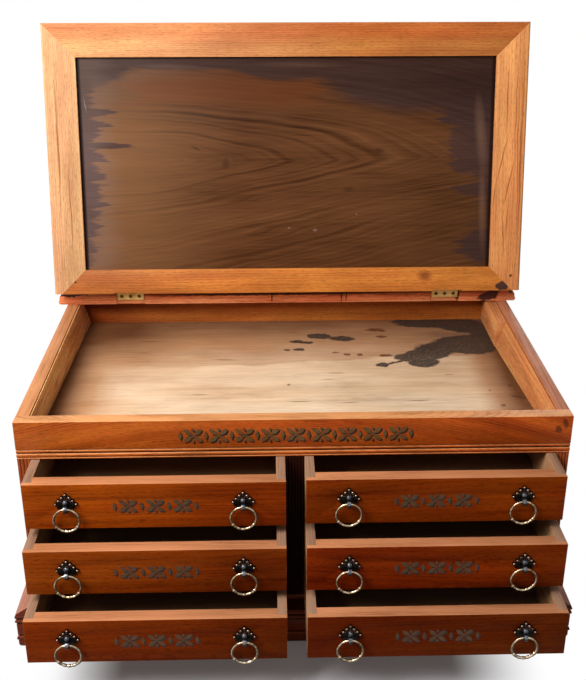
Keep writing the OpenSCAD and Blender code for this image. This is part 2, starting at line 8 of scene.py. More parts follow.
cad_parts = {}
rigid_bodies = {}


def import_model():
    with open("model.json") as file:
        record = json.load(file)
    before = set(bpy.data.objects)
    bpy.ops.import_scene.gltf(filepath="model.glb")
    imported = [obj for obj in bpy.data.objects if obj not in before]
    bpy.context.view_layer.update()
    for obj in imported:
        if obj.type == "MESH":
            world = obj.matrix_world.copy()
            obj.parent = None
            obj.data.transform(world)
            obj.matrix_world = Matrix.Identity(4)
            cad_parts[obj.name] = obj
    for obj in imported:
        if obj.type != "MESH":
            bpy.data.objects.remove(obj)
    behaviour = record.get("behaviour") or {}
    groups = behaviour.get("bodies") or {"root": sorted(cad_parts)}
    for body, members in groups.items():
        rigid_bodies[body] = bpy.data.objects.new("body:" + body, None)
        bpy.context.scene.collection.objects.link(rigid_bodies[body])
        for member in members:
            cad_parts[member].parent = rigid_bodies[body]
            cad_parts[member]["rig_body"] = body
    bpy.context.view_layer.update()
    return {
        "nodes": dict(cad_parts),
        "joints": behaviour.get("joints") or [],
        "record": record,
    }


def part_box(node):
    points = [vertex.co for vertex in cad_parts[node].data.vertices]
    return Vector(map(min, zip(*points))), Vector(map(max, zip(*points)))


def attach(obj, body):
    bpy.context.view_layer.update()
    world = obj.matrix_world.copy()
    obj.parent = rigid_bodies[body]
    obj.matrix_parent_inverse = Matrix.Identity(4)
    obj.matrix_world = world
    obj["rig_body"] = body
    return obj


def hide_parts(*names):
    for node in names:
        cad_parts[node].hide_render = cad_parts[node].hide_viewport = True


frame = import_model()
print("frame loaded:", len(frame["nodes"]), "nodes")

mm = 0.001
slotOf = {row["node"]: row["material_slot"] for row in frame["record"]["subparts"]}
jointOf = {joint["child"]: joint for joint in frame["joints"]}
lidAngle = -jointOf["lid"]["range_deg"][0]  # degrees from shut to open
hingeAt = Vector(jointOf["lid"]["pos_m"]) / mm
drawerNames = [f"{row}_{side}" for row in ("lower", "middle", "upper")
               for side in ("left", "right")]


def cornersOf(nodeName):
    # Lowest and highest corner of a node in millimetres
    low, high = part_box(nodeName)
    return low / mm, high / mm


# Camera, at the viewing angle of the reference picture
cameraLook = {
    "place": (-0.0337, -1.4498, 1.0234),
    "down": 23.88,  # degrees below the horizon
    "turn": 1.46,  # degrees towards +X
    "focalPixels": 1023.65,
    "longSidePixels": 680,
}


def makeCamera(look):
    data = bpy.data.cameras.new("camera")
    data.sensor_width = 36
    data.lens = look["focalPixels"] * data.sensor_width / look["longSidePixels"]
    data.clip_start = 0.05
    camera = bpy.data.objects.new("camera", data)
    camera.location = look["place"]
    camera.rotation_euler = (math.radians(90 - look["down"]), 0, math.radians(-look["turn"]))
    bpy.context.scene.collection.objects.link(camera)
    bpy.context.scene.camera = camera


makeCamera(cameraLook)
print("camera placed")


def linear(hexColour):
    # sRGB hex to the linear colour that the shaders take
    parts = [int(hexColour[i:i + 2], 16) / 255 for i in (1, 3, 5)]
    return (*(c / 12.92 if c <= 0.04045 else ((c + 0.055) / 1.055) ** 2.4 for c in parts), 1.0)


def shade(hexColour, level):
    # A lighter or darker tone of a wood colour: dark wood turns redder, light wood yellower
    red, green, blue, alpha = linear(hexColour)
    return (min(1, red * level ** 0.85), min(1, green * level), min(1, blue * level ** 1.15), alpha)


def addNode(tree, kind, *inputs, stops=(), **settings):
    # Adds a node and sets it up. Its kind may name its operation too. The inputs go to its sockets
    # in their order, or as a dictionary says. Hex colours are turned to linear. Stops are a ramp's.
    kind, _, operation = kind.partition(" ")
    node = tree.nodes.new(kind if kind.startswith("Node") else "ShaderNode" + kind)
    if operation:
        node.operation = operation
    for name, value in settings.items():
        setattr(node, name, value)
    byKey = inputs[0] if isinstance(inputs and inputs[0], dict) else dict(enumerate(inputs))
    for key, value in byKey.items():
        if isinstance(key, int):
            socket = node.inputs[key]
        else:
            socket = next(s for s in node.inputs if s.name == key and s.enabled)
        if isinstance(value, bpy.types.Node):
            value = next(s for s in value.outputs if s.enabled)
        if isinstance(value, bpy.types.NodeSocket):
            tree.links.new(value, socket)
        else:
            socket.default_value = linear(value) if isinstance(value, str) else value
    if stops:
        ramp = node.color_ramp
        ramp.elements[0].position = stops[0][0]
        ramp.elements[-1].position = stops[-1][0]
        for place, colour in stops[1:-1]:
            ramp.elements.new(place)
        for element, (place, colour) in zip(ramp.elements, stops):
            element.color = linear(colour) if isinstance(colour, str) else colour
    return node


def newMaterial(name):
    material = bpy.data.materials.new(name)
    material.use_nodes = True
    material.node_tree.nodes.clear()
    return material, material.node_tree


def newMesh(name, bm):
    mesh = bpy.data.meshes.new(name)
    bm.to_mesh(mesh)
    bm.free()
    return mesh


# Studio: white floor, one large soft lamp high on the left, an even white surround
studioLook = {
    "floorHalf": 30.0,
    "floorColour": "#d2cfd2",
    "footprint": (0.236, 0.37, 0),  # half sides of the patch where the shadow is whole
    "footprintMiddle": (-0.012, 0.0, 0.0),
    "shadowFade": (-0.02, 0.14),  # m outside it, over which the shadow gives way to plain white
    "ambient": 0.20,
    "lamps": {  # place, aim, side in m, power in W
        "softKey": ((-1.05, -0.92, 1.62), (0, -0.02, 0.4), 0.9, 50),
        "backFill": ((0.9, 1.6, 1.3), (0, 0.1, 0.4), 1.2, 12),
    },
}


def seenRays(tree):
    # 1 for what the camera sees itself, in a gloss or through glass, and 0 for the light that falls
    rays = addNode(tree, "LightPath")
    seen = addNode(tree, "Math MAXIMUM", rays.outputs["Is Camera Ray"],
                   rays.outputs["Is Glossy Ray"])
    return addNode(tree, "Math MAXIMUM", seen, rays.outputs["Is Transmission Ray"])


def makeStudio(look):
    scene = bpy.context.scene
    scene.view_settings.view_transform = "Standard"
    world = bpy.data.worlds.new("surround")
    world.use_nodes = True
    scene.world = world
    tree = world.node_tree
    tree.nodes.clear()
    strength = addNode(tree, "MapRange", seenRays(tree), 0, 1, look["ambient"])
    light = addNode(tree, "Background", {"Color": "#ffffff", "Strength": strength})
    addNode(tree, "OutputWorld", {"Surface": light})

    for name, (place, aim, side, power) in look["lamps"].items():
        data = bpy.data.lights.new(name, "AREA")
        data.size = side
        data.energy = power
        lamp = bpy.data.objects.new(name, data)
        lamp.location = place
        lamp.rotation_euler = (Vector(place) - Vector(aim)).to_track_quat("Z", "Y").to_euler()
        scene.collection.objects.link(lamp)

    bm = bmesh.new()
    bmesh.ops.create_grid(bm, x_segments=1, y_segments=1, size=look["floorHalf"])
    floor = bpy.data.objects.new("floor", newMesh("floor", bm))
    scene.collection.objects.link(floor)
    paper, tree = newMaterial("studioPaper")  # matt white paper roll
    floor.data.materials.append(paper)
    matt = addNode(tree, "BsdfDiffuse", {"Color": look["floorColour"]})
    white = addNode(tree, "Emission", {"Color": "#ffffff", "Strength": 1.0})
    away = addNode(tree, "TexCoord").outputs["Object"]  # becomes the distance outside the footprint
    for operation, other in (("SUBTRACT", look["footprintMiddle"]), ("ABSOLUTE", (0, 0, 0)),
                             ("SUBTRACT", look["footprint"]), ("MAXIMUM", (0, 0, 0)),
                             ("LENGTH", (0, 0, 0))):
        away = addNode(tree, "VectorMath", away, other, operation=operation)
    start, end = look["shadowFade"]
    away = addNode(tree, "MapRange", away, start, end, interpolation_type="SMOOTHSTEP")
    away = addNode(tree, "Math MULTIPLY", away, seenRays(tree))
    both = addNode(tree, "MixShader", away, matt, white)
    addNode(tree, "OutputMaterial", {"Surface": both})


makeStudio(studioLook)
print("studio lit")


# Each noise gives its length along the grain and its width across it, in mm, and its detail.
# Oak is ring-porous: each year starts with a row of open pores and ends in dense wood.
oakGrain = {
    "bend": (1300, 60, 2.0),
    "pores": (9, 1.0, 1.0),  # coarser than the real 0.3 mm so that they show
    "fibres": (34, 1.3, 3.0),
    "bands": (420, 12, 3.0),
    "patches": (130, 34, 3.0),
    "blush": (190, 17, 3.0),
    "ringWidth": 3.1,  # mm, a year's growth
    "ringWarp": 30,  # mm that the rings wander along the board
    "shares": {"fibres": 0.55, "bands": 0.6, "patches": 0.7},
    "ringShare": 0.17,
    "poreRange": (0.5, 0.64),
}
# Pine: soft and even, with wide rings and a few short dark flecks
pineGrain = {
    "bend": (1800, 110, 2.0),
    "pores": (22, 1.7, 1.0),
    "fibres": (48, 2.0, 4.0),
    "bands": (600, 22, 3.0),
    "patches": (150, 60, 4.0),
    "blush": (260, 90, 2.0),
    "ringWidth": 9,
    "ringWarp": 60,
    "shares": {"fibres": 0.6, "bands": 0.35, "patches": 0.7},
    "ringShare": 0.07,
    "poreRange": (0.67, 0.76),
}
yearLook = {  # how the years read in either wood
    "wave": {"Distortion": 1.8, "Detail": 2.0, "Detail Scale": 0.5, "Detail Roughness": 0.55},
    "early": (0.6, 0.05),  # heights of the wave between which the early wood starts
    "fading": (0.36, 0.6),  # the years fade where the wood is plain
    "faintest": 0.15,
    "latePores": 0.45,  # share of the pores that is left in the late wood
    "blush": (0.38, 0.64),
}


def drawnNoise(tree, place, length, width, depth, detail):
    # A noise drawn out along the grain. Its length, width and depth are in mm.
    drawn = addNode(tree, "VectorMath MULTIPLY", place, (1 / length, 1 / width, 1 / depth))
    return addNode(tree, "TexNoise", {"Vector": drawn, "Scale": 1.0, "Detail": detail})


def makeGrain(name, look, years):
    # A node group that takes a place in millimetres, x along the grain, and gives three masks
    group = bpy.data.node_groups.new(name, "ShaderNodeTree")
    group.interface.new_socket("Vector", in_out="INPUT", socket_type="NodeSocketVector")
    for output in ("Tone", "Pores", "Blush"):
        group.interface.new_socket(output, in_out="OUTPUT", socket_type="NodeSocketFloat")
    start = addNode(group, "NodeGroupInput")
    noises = {}
    for part in ("bend", "pores", "fibres", "bands", "patches", "blush"):
        length, width, detail = look[part]
        noises[part] = drawnNoise(group, start, length, width, width, detail)
    bend = addNode(group, "VectorMath SUBTRACT", noises["bend"].outputs["Color"], (0.5, 0.5, 0.5))
    bend = addNode(group, "VectorMath MULTIPLY", bend, (0, look["ringWarp"], look["ringWarp"]))
    bent = addNode(group, "VectorMath ADD", start, bend)
    wavesPerMm = math.tau / 20 / look["ringWidth"]  # the wave repeats 20 times in a turn
    rings = addNode(group, "TexWave", {"Vector": bent, "Scale": wavesPerMm, **years["wave"]},
                    wave_type="RINGS", rings_direction="X", wave_profile="SAW")
    late, early = years["early"]
    early = addNode(group, "MapRange", rings.outputs["Fac"], late, early,
                    interpolation_type="SMOOTHSTEP")
    start, end = years["fading"]
    plain = addNode(group, "MapRange", noises["blush"], start, end, years["faintest"])
    tone = addNode(group, "Math MULTIPLY", early, plain)
    tone = addNode(group, "Math MULTIPLY_ADD", tone, -look["ringShare"],
                   0.5 + look["ringShare"] / 4)
    for part, share in look["shares"].items():
        centred = addNode(group, "Math SUBTRACT", noises[part], 0.5)
        tone = addNode(group, "Math MULTIPLY_ADD", centred, share, tone)
    masks = {"Tone": tone}
    for mask, part, (low, high) in (("Pores", "pores", look["poreRange"]),
                                    ("Blush", "blush", years["blush"])):
        masks[mask] = addNode(group, "MapRange", noises[part], low, high)
    opened = addNode(group, "MapRange", early, 0, 1, years["latePores"])
    masks["Pores"] = addNode(group, "Math MULTIPLY", masks["Pores"], opened)
    addNode(group, "NodeGroupOutput", masks)
    return group


grains = {"oak": makeGrain("oakGrain", oakGrain, yearLook),
          "pine": makeGrain("pineGrain", pineGrain, yearLook)}
grainTurns = {"x": (0, 0, 0), "y": (0, 0, -90), "z": (0, 90, 0),
              "lidX": (lidAngle, 0, 0), "lidY": (lidAngle, 0, -90)}


def placeInMm(tree, turn=(0, 0, 0), shift=(0, 0, 0)):
    # Object coordinates in millimetres, turned and then shifted
    seat = addNode(tree, "TexCoord").outputs["Object"]
    return addNode(tree, "Mapping", {"Vector": seat, "Location": shift, "Rotation": turn,
                                     "Scale": (1 / mm, 1 / mm, 1 / mm)})


def boardPlace(tree, look):
    # A place on a board: x runs along the grain and the pith is at zero
    turn = Vector(grainTurns[look["grain"]]) + Vector(look["tilt"])
    turn = Euler([math.radians(a) for a in turn])
    place = placeInMm(tree, turn, -(turn.to_matrix() @ Vector(look["pith"])))
    if "arch" in look:  # the grain rises to the middle of the board and falls again
        bow = addNode(tree, "VectorMath MULTIPLY", place, place)
        bow = addNode(tree, "VectorMath DOT_PRODUCT", bow, (look["arch"], 0, 0))
        bow = addNode(tree, "CombineXYZ", {"Z": bow})
        place = addNode(tree, "VectorMath ADD", place, bow)
    return place


# Marks are drawn on a flat face: its two directions first, then the height of the face above them
faceTurns = {"top": 0, "front": -90, "lid": lidAngle}  # degrees


def facePlace(tree, face):
    # Millimetres across the face, as on the shut lid where the face is the lid's
    turn = Euler((math.radians(faceTurns[face]), 0, 0))
    shift = hingeAt - turn.to_matrix() @ hingeAt if face == "lid" else (0, 0, 0)
    return placeInMm(tree, turn, shift)


def finishMaterial(tree, colour, coats, sockets, bump=None):
    # Lays coats over the colour in turn, each its share, its colour and, if not MIX, its blend.
    # Bump is its strength, its height in mm and what it follows.
    for share, coat, *blend in coats:
        colour = addNode(tree, "Mix", {0: share, 6: colour, 7: coat}, data_type="RGBA",
                         blend_type=blend[0] if blend else "MIX").outputs[2]
    if bump:
        strength, height, followed = bump
        sockets["Normal"] = addNode(tree, "Bump", {"Strength": strength, "Distance": height * mm,
                                                   "Height": followed})
    shader = addNode(tree, "BsdfPrincipled", {"Base Color": colour, **sockets})
    addNode(tree, "OutputMaterial", {"Surface": shader})


plainMarks = {  # for a mark that doesn't say otherwise
    "grit": 20,  # mm, the size of what frays its edges
    "ragged": 0.8,  # how many grits its edges fray
    "streak": 1,  # above 1 draws the edges out along the face's first direction
    "depth": 12,  # mm that it reaches above and below its face
    "join": 0.1,  # how softly its spots run together
    "soft": 0.12,
    "share": 0.9,
}
speckLook = {"size": 3, "range": (0.5, 0.72)}  # mm


def markMask(tree, marks):
    # Ragged stains, scratches, holes, painted shadows and painted reflections: spots of (across,
    # up, half length, half width, turn) in mm
    marks = {**plainMarks, **marks}
    flat = facePlace(tree, marks["face"])
    grit, streak = marks["grit"], marks["streak"]
    drawn = addNode(tree, "VectorMath MULTIPLY", flat, (1 / streak, 1, 1))
    stray = addNode(tree, "TexNoise", {"Vector": drawn, "Scale": 1 / grit, "Detail": 5.0,
                                       "Roughness": 0.55})
    stray = addNode(tree, "VectorMath SUBTRACT", stray.outputs["Color"], (0.5, 0.5, 0.5))
    reach = marks["ragged"] * grit
    stray = addNode(tree, "VectorMath MULTIPLY", stray, (reach * streak, reach, 0))
    place = addNode(tree, "VectorMath ADD", flat, stray)
    mask = None
    for across, up, halfLength, halfWidth, turn in marks["spots"]:
        local = addNode(tree, "Mapping", {"Vector": place, "Location": (across, up, marks["level"]),
                                          "Rotation": (0, 0, math.radians(turn)),
                                          "Scale": (halfLength, halfWidth, marks["depth"])},
                        vector_type="TEXTURE")
        far = addNode(tree, "VectorMath LENGTH", local)
        near = addNode(tree, "Math SUBTRACT", 1.0, far)
        mask = near if mask is None else addNode(tree, "Math SMOOTH_MAX", mask, near, marks["join"])
    mask = addNode(tree, "MapRange", mask, 0, marks["soft"], 0, marks["share"])
    if "specks" in marks:  # the surface shows through in specks
        low, high = speckLook["range"]
        specks = addNode(tree, "TexNoise", {"Vector": flat, "Scale": 1 / speckLook["size"],
                                            "Detail": 4.0, "Roughness": 0.7})
        specks = addNode(tree, "MapRange", specks, low, high, 1.0, 1 - marks["specks"])
        mask = addNode(tree, "Math MULTIPLY", mask, specks)
    return mask


plainWood = {  # for a board that doesn't say otherwise
    "pith": (0, 0, 0), "tilt": (0, 0, 0),  # mm to the heart of the log, degrees off the board
    "tones": ((0.12, 0.34), (0.36, 0.74), (0.52, 1.0), (0.68, 1.3), (0.9, 1.75)),
    "spread": 1.0,  # contrast of the tones
    "blush": "#f0c4a4", "blushShare": 0.7,
    "poreLevel": 0.22, "poreDepth": 0.6,
    "fades": (), "marks": (),
    "topFacing": (0.35, 0.9), "topShare": 0.8,
    "topTones": ((0.2, 0.55), (0.5, 1.0), (0.8, 1.3)),
    "edgeShare": 0.7,
    "edgeBreaks": (14, 0.38, 0.6),  # mm long, and the noise from whole to broken
    "dirtAndShadeShare": 0.8,
    "bump": 0.3,
    "sheen": 0.12,
    "roughRange": (0.25, 0.8, 0.1, -0.06),  # of the tone, and what each end adds to the roughness
}


def woodMaterial(name, look, extra=None):
    # Solid wood under old shellac: warm, half gloss, pores showing as fine dark dashes
    look = {**plainWood, **look}
    material, tree = newMaterial(name)
    place = boardPlace(tree, look)
    grain = addNode(tree, "Group", place, node_tree=grains[look["species"]])
    tone, pores, blush = (grain.outputs[mask] for mask in ("Tone", "Pores", "Blush"))
    body = look["colour"]
    colour = addNode(tree, "ValToRGB", tone, stops=[(at, shade(body, level ** look["spread"]))
                                                    for at, level in look["tones"]])
    coats = []
    for mask, share, *coat in ((blush, look["blushShare"], look["blush"], "MULTIPLY"),
                               (pores, look["poreDepth"], shade(body, look["poreLevel"]))):
        coats.append((addNode(tree, "Math MULTIPLY", mask, share), *coat))
    for face, way, start, end, fadeTint in look["fades"]:  # painted light: a tint across the board where the light falls off
        far = addNode(tree, "SeparateXYZ", facePlace(tree, face)).outputs[way]
        far = addNode(tree, "MapRange", far, start, end)
        coats.append((far, fadeTint, "MULTIPLY"))
    if "top" in look:  # the finish is gone from edges that face up, and painted light makes every up-facing surface lighter
        low, high = look["topFacing"]
        facing = addNode(tree, "SeparateXYZ", addNode(tree, "TexCoord").outputs["Normal"])
        wornAndLitTops = addNode(tree, "MapRange", facing.outputs["Z"], low, high, 0, look["topShare"])
        bareAndLitWood = addNode(tree, "ValToRGB", tone, stops=[(at, shade(look["top"], level))
                                                      for at, level in look["topTones"]])
        coats.append((wornAndLitTops, bareAndLitWood))
    if "edge" in look:  # rubbed arrises, lighter as well as a painted highlight along the edges
        size, low, high = look["edgeBreaks"]
        rubbedAndHighlit = addNode(tree, "Attribute", attribute_name="arris").outputs["Fac"]
        broken = addNode(tree, "TexNoise", {"Vector": place, "Scale": 1 / size, "Detail": 4.0})
        broken = addNode(tree, "MapRange", broken, low, high, 0, look["edgeShare"])
        coats.append((addNode(tree, "Math MULTIPLY", rubbedAndHighlit, broken), look["edge"]))
    if "dirtAndShade" in look:  # old wax and dust in the grooves, and painted shade there
        groove = addNode(tree, "Attribute", attribute_name="groove").outputs["Fac"]
        coats.append((addNode(tree, "Math MULTIPLY", groove, look["dirtAndShadeShare"]), look["dirtAndShade"]))
    if extra:
        coats.append(extra(tree))
    coats += [(markMask(tree, marks), marks["colour"]) for marks in look["marks"]]
    dark, light, dull, smooth = look["roughRange"]
    rough = addNode(tree, "MapRange", tone, dark, light, look["rough"] + dull,
                    look["rough"] + smooth)
    height = addNode(tree, "Math SUBTRACT", tone, pores)
    finishMaterial(tree, colour, coats, {"Roughness": rough, "IOR": 1.5,
                                         "Specular IOR Level": look["sheen"]},
                   (look["bump"], 0.3, height))
    return material


easing = {
    "weld": 2e-6,  # m, corners closer than this are one
    "flat": 1,  # degrees, faces that meet flatter than this are one
    "sharp": 35,  # degrees, edges above it are eased
    "grooveWidth": 2.6,  # mm, a face in a hollow that is narrower holds dirt
    "smooth": 30,  # degrees, edges below it are shaded smooth
}


def easedCopy(nodeName, ease):
    # A merged copy of a node's mesh with its outer arrises eased. Eased faces are marked "arris",
    # and narrow faces at the bottom of a groove are marked "groove".
    sharp = math.radians(easing["sharp"])
    bm = bmesh.new()
    bm.from_mesh(frame["nodes"][nodeName].data)
    bmesh.ops.remove_doubles(bm, verts=bm.verts, dist=easing["weld"])
    bmesh.ops.dissolve_limit(bm, angle_limit=math.radians(easing["flat"]), verts=bm.verts,
                             edges=bm.edges, use_dissolve_boundaries=False)
    arris = bm.faces.layers.float.new("arris")
    groove = bm.faces.layers.float.new("groove")
    for face in bm.faces:
        longest = max(edge.calc_length() for edge in face.edges)
        if face.calc_area() / longest < easing["grooveWidth"] * mm:
            folds = (edge.calc_face_angle_signed() for edge in face.edges if edge.is_manifold)
            if min(folds, default=0) < -sharp:
                face[groove] = 1.0
    edges = [e for e in bm.edges if len(e.link_faces) == 2 and e.is_convex
             and e.calc_face_angle() > sharp]
    made = bmesh.ops.bevel(bm, geom=edges, offset=ease * mm, offset_type="OFFSET", affect="EDGES",
                           segments=2, profile=0.5, clamp_overlap=True, material=-1)
    for face in made["faces"]:
        face[arris] = 1.0
        face[groove] = 0.0
    mesh = newMesh(nodeName + "_eased", bm)
    for name in ("custom_normal", "sharp_face", "sharp_edge"):
        if name in mesh.attributes:
            mesh.attributes.remove(mesh.attributes[name])
    mesh.shade_smooth()
    mesh.set_sharp_from_angle(angle=math.radians(easing["smooth"]))
    return mesh


def addPiece(name, mesh, material, nodeName, standsIn=True):
    # Puts a mesh with its material on a node's body, and as a rule in the node's place
    piece = bpy.data.objects.new(name, mesh)
    bpy.context.scene.collection.objects.link(piece)
    mesh.materials.clear()
    mesh.materials.append(material)
    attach(piece, frame["nodes"][nodeName]["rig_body"])
    if standsIn:
        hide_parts(nodeName)


def dressNode(nodeName, material, ease):
    addPiece(nodeName + "_dressed", easedCopy(nodeName, ease), material, nodeName)


def dressBoard(nodeName, look, finish="shellackedOak", extra=None):
    dressNode(nodeName, woodMaterial(f"{finish}_{nodeName}", look, extra), look["ease"])


# Case: red-brown oak, darkest on the reeds and the moulded base
frontY = cornersOf("header")[0].y
caseOak = {
    "species": "oak", "grain": "x", "pith": (0, -140, 250), "rough": 0.4, "ease": 0.7,
    "sheen": 0.08, "blush": "#f6d8d4", "colour": "#a04a18", "edge": "#c97c3c", "dirtAndShade": "#2a1008",
}
darkOak = dict(caseOak, rough=0.38, colour="#5e260e", edge="#9c5428", dirtAndShade="#140604", dirtAndShadeShare=0.9)
innerOak = dict(caseOak, rough=0.5, ease=0.5, colour="#cf8a48")
caseBoards = {
    # The header's fade is painted light, a tint running from its right end to its left
    "header": dict(caseOak, top="#e09e66", pith=(-60, -160, 240), arch=0.0004, colour="#bb5418",
                   fades=[("top", 0, 260, -300, "#dcf4ff")], marks=[
        {"face": "front", "level": -frontY, "colour": "#3a1a0e", "grit": 9, "soft": 0.5,
         "share": 0.7, "spots": [(362, 343, 6, 7, 30), (371, 352, 4, 10, 20)]}]),
    "corner_stiles": dict(darkOak, grain="z", pith=(0, -120, 0), ease=0.15, colour="#8c4320",
                          edge="#d89a66", edgeShare=0.95),
    # The centre stile's near-black colour is painted shade, for the shade between the drawer
    # columns
    "centre_stile": dict(darkOak, grain="z", pith=(40, -120, 0), ease=0.15, colour="#260b05",
                         edge="#5a2414"),
    # The left side's top colour is lighter than the right's: painted light from the lamp on the
    # left
    "side_left": dict(caseOak, grain="y", pith=(-330, 0, 200), top="#c98c5e"),
    "side_right": dict(caseOak, grain="y", pith=(330, 0, 160), top="#ad7253"),
    # The back board's fade is painted shade, darker towards its left end
    "back_board": dict(caseOak, pith=(0, 330, 180), colour="#a35c24", spread=0.75,
                       fades=[("top", 0, -190, -350, "#bc9684")]),
    # The linings' light colour and their fade, darker to the right, are painted light on the left
    # lining, which faces away from the lamp
    "tray_linings": dict(innerOak, grain="y", pith=(380, 0, 300), colour="#ffc27d",
                         fades=[("top", 0, -200, 200, "#d0b8af")]),
    "partition": dict(caseOak, grain="y", colour="#4e2411"),
    "drawer_rails": dict(darkOak, pith=(0, -190, 60), ease=0.5),
    "base_front": dict(darkOak, pith=(0, -180, -30), ease=0.4),
    "base_sides": dict(darkOak, grain="y", pith=(350, 0, -30), ease=0.4, colour="#7c402a",
                       top="#b5826e"),
}
for nodeName, look in caseBoards.items():
    dressBoard(nodeName, look)

# Pine inside: the floor of the tray, the runners and the bottom board
trayTop = cornersOf("tray_floor")[1].z
pineBoard = {
    "species": "pine", "grain": "x", "pith": (0, 60, 120), "rough": 0.6, "ease": 0.4, "bump": 0.2,
    "colour": "#d9b088", "blush": "#f4dcc8", "spread": 0.55, "poreLevel": 0.3, "sheen": 0.2,
}
floorMarks = {"face": "top", "level": trayTop, "depth": 30}
trayFloor = dict(pineBoard, ease=0.2, colour="#e2c6a6", blush="#f6e8d8", marks=[
    dict(floorMarks, colour="#8a6848", grit=40, soft=1.1, share=0.35, spots=[  # faint damp patches
        (-60, -60, 60, 16, 4), (90, -20, 40, 14, 0), (120, -80, 190, 9, 0), (-150, 90, 60, 22, -8),
        (340, -110, 40, 30, 0)]),
    dict(floorMarks, colour="#4a2c1a", grit=10, soft=0.5, share=0.75, spots=[
        (-4, -26, 3.5, 3, 0), (339, -38, 5, 4, 0), (304, -53, 3, 3, 0), (314, -103, 6, 5, 0),
        (342, -75, 5, 14, 70), (333, -118, 16, 3, 0)]),
    dict(floorMarks, colour="#4a2c1a", grit=10, ragged=0.1, streak=8, soft=0.6, share=0.7, spots=[
        (10, -83, 22, 1.8, 0), (73, 14, 18, 1.8, 0), (-90, -120, 18, 1.6, 0), (86, -88, 20, 1.6, 2),
        (60, -8, 16, 1.5, 0), (190, -84, 24, 1.6, 2), (250, 4, 10, 1.5, 0), (-140, -57, 17, 1.6, 0),
        (-238, 145, 22, 1.8, 0), (-240, 98, 14, 1.4, 0), (-105, 68, 26, 2.0, -3),
        (-205, 212, 22, 2, 0)]),
    dict(floorMarks, colour="#5a2c14", grit=12, ragged=1.1, soft=0.3, specks=0.6, spots=[
        (152, 184, 20, 8, -6), (159, 156, 11, 6, 0), (95, 84, 8, 4, 0), (116, 83, 6, 4, 0),
        (159, 78, 13, 6, -4), (76, 92, 6, 3, 0)]),
    # Brown rims of the dark stains that follow
    dict(floorMarks, colour="#7a5640", grit=14, ragged=1.2, soft=0.4, share=0.75, specks=0.7,
         spots=[(232, 112, 26, 16, 10), (282, 160, 50, 14, 0), (215, 222, 36, 12, 0)]),
    dict(floorMarks, colour="#2c2521", grit=13, ragged=1.0, join=0.22, soft=0.16, share=0.95,
         specks=0.35, spots=[
             (268, 212, 84, 22, 2), (312, 192, 52, 26, -8), (214, 220, 34, 11, -4),
             (336, 164, 26, 30, 0), (346, 134, 20, 30, 0), (302, 138, 60, 22, 6),
             (262, 112, 62, 26, 20), (306, 104, 46, 26, 0), (228, 82, 52, 27, 22),
             (216, 52, 28, 22, 0), (196, 70, 28, 18, 0), (170, 51, 18, 3.4, 25),
             (149, 42, 12, 8, 8), (52, 160, 22, 13, -6), (90, 149, 24, 11, -4),
             (12, 139, 13, 6, 0), (29, 134, 14, 5, 0), (15, 105, 12, 5, 0), (-4, 105, 6, 4, 0)]),
])
# The tray floor's darkening: beside the walls, in the left rear corner and towards the rear it is
# painted shade as well as dirt
floorDirtAndShade = {
    "cloud": 120,  # mm
    "cornerAt": (-352, 232),
    "fades": {  # mm from where to where it thickens, and the most of it
        "corner": (310, 50, 1.15), "left": (-245, -352, 0.95), "right": (275, 345, 1.0),
        "rear": (60, 225, 0.55), "climb": (-60, 140, -38),  # mm that the wavy edge drops
        "edge": (33, 41, 0.31)},
    "waves": 60.0,  # mm
    "uneven": 0.4,
    "colours": [(0.06, "#ffffff"), (0.5, "#c8ae99"), (1.0, "#6f5038")],
}


def dirtyShadedFloor(tree):
    # Brown dirt and painted shade: thick in the left rear corner, by the walls and under the
    # hinges, thinner behind a wavy edge
    look = floorDirtAndShade

    def fade(part, value):
        start, end, most = look["fades"][part]
        return addNode(tree, "MapRange", value, start, end, 0, most)

    place = facePlace(tree, "top")
    parts = addNode(tree, "SeparateXYZ", place)
    x, y = parts.outputs["X"], parts.outputs["Y"]
    cloud = addNode(tree, "TexNoise", {"Vector": place, "Scale": 1 / look["cloud"], "Detail": 4.0})
    cloud = addNode(tree, "Math SUBTRACT", cloud, 0.5)
    corner = addNode(tree, "VectorMath DISTANCE", place, (*look["cornerAt"], trayTop))
    edge = addNode(tree, "Math MULTIPLY_ADD", cloud, look["waves"], y)
    edge = addNode(tree, "Math ADD", edge, fade("climb", x))
    dirtAndShade = addNode(tree, "Math ADD", fade("rear", y), fade("edge", edge))
    for other in (fade("corner", corner), fade("left", x), fade("right", x)):
        dirtAndShade = addNode(tree, "Math SMOOTH_MAX", dirtAndShade, other, 0.25)
    dirtAndShade = addNode(tree, "Math MULTIPLY_ADD", cloud, look["uneven"], dirtAndShade)
    return 1.0, addNode(tree, "ValToRGB", dirtAndShade, stops=look["colours"]), "MULTIPLY"


dressBoard("tray_floor", trayFloor, "barePine", dirtyShadedFloor)
rawPine = woodMaterial("barePine", dict(pineBoard, grain="y", pith=(200, 0, -40)))
for nodeName in ("drawer_runners", "bottom_board"):
    dressNode(nodeName, rawPine, pineBoard["ease"])
print("case dressed")


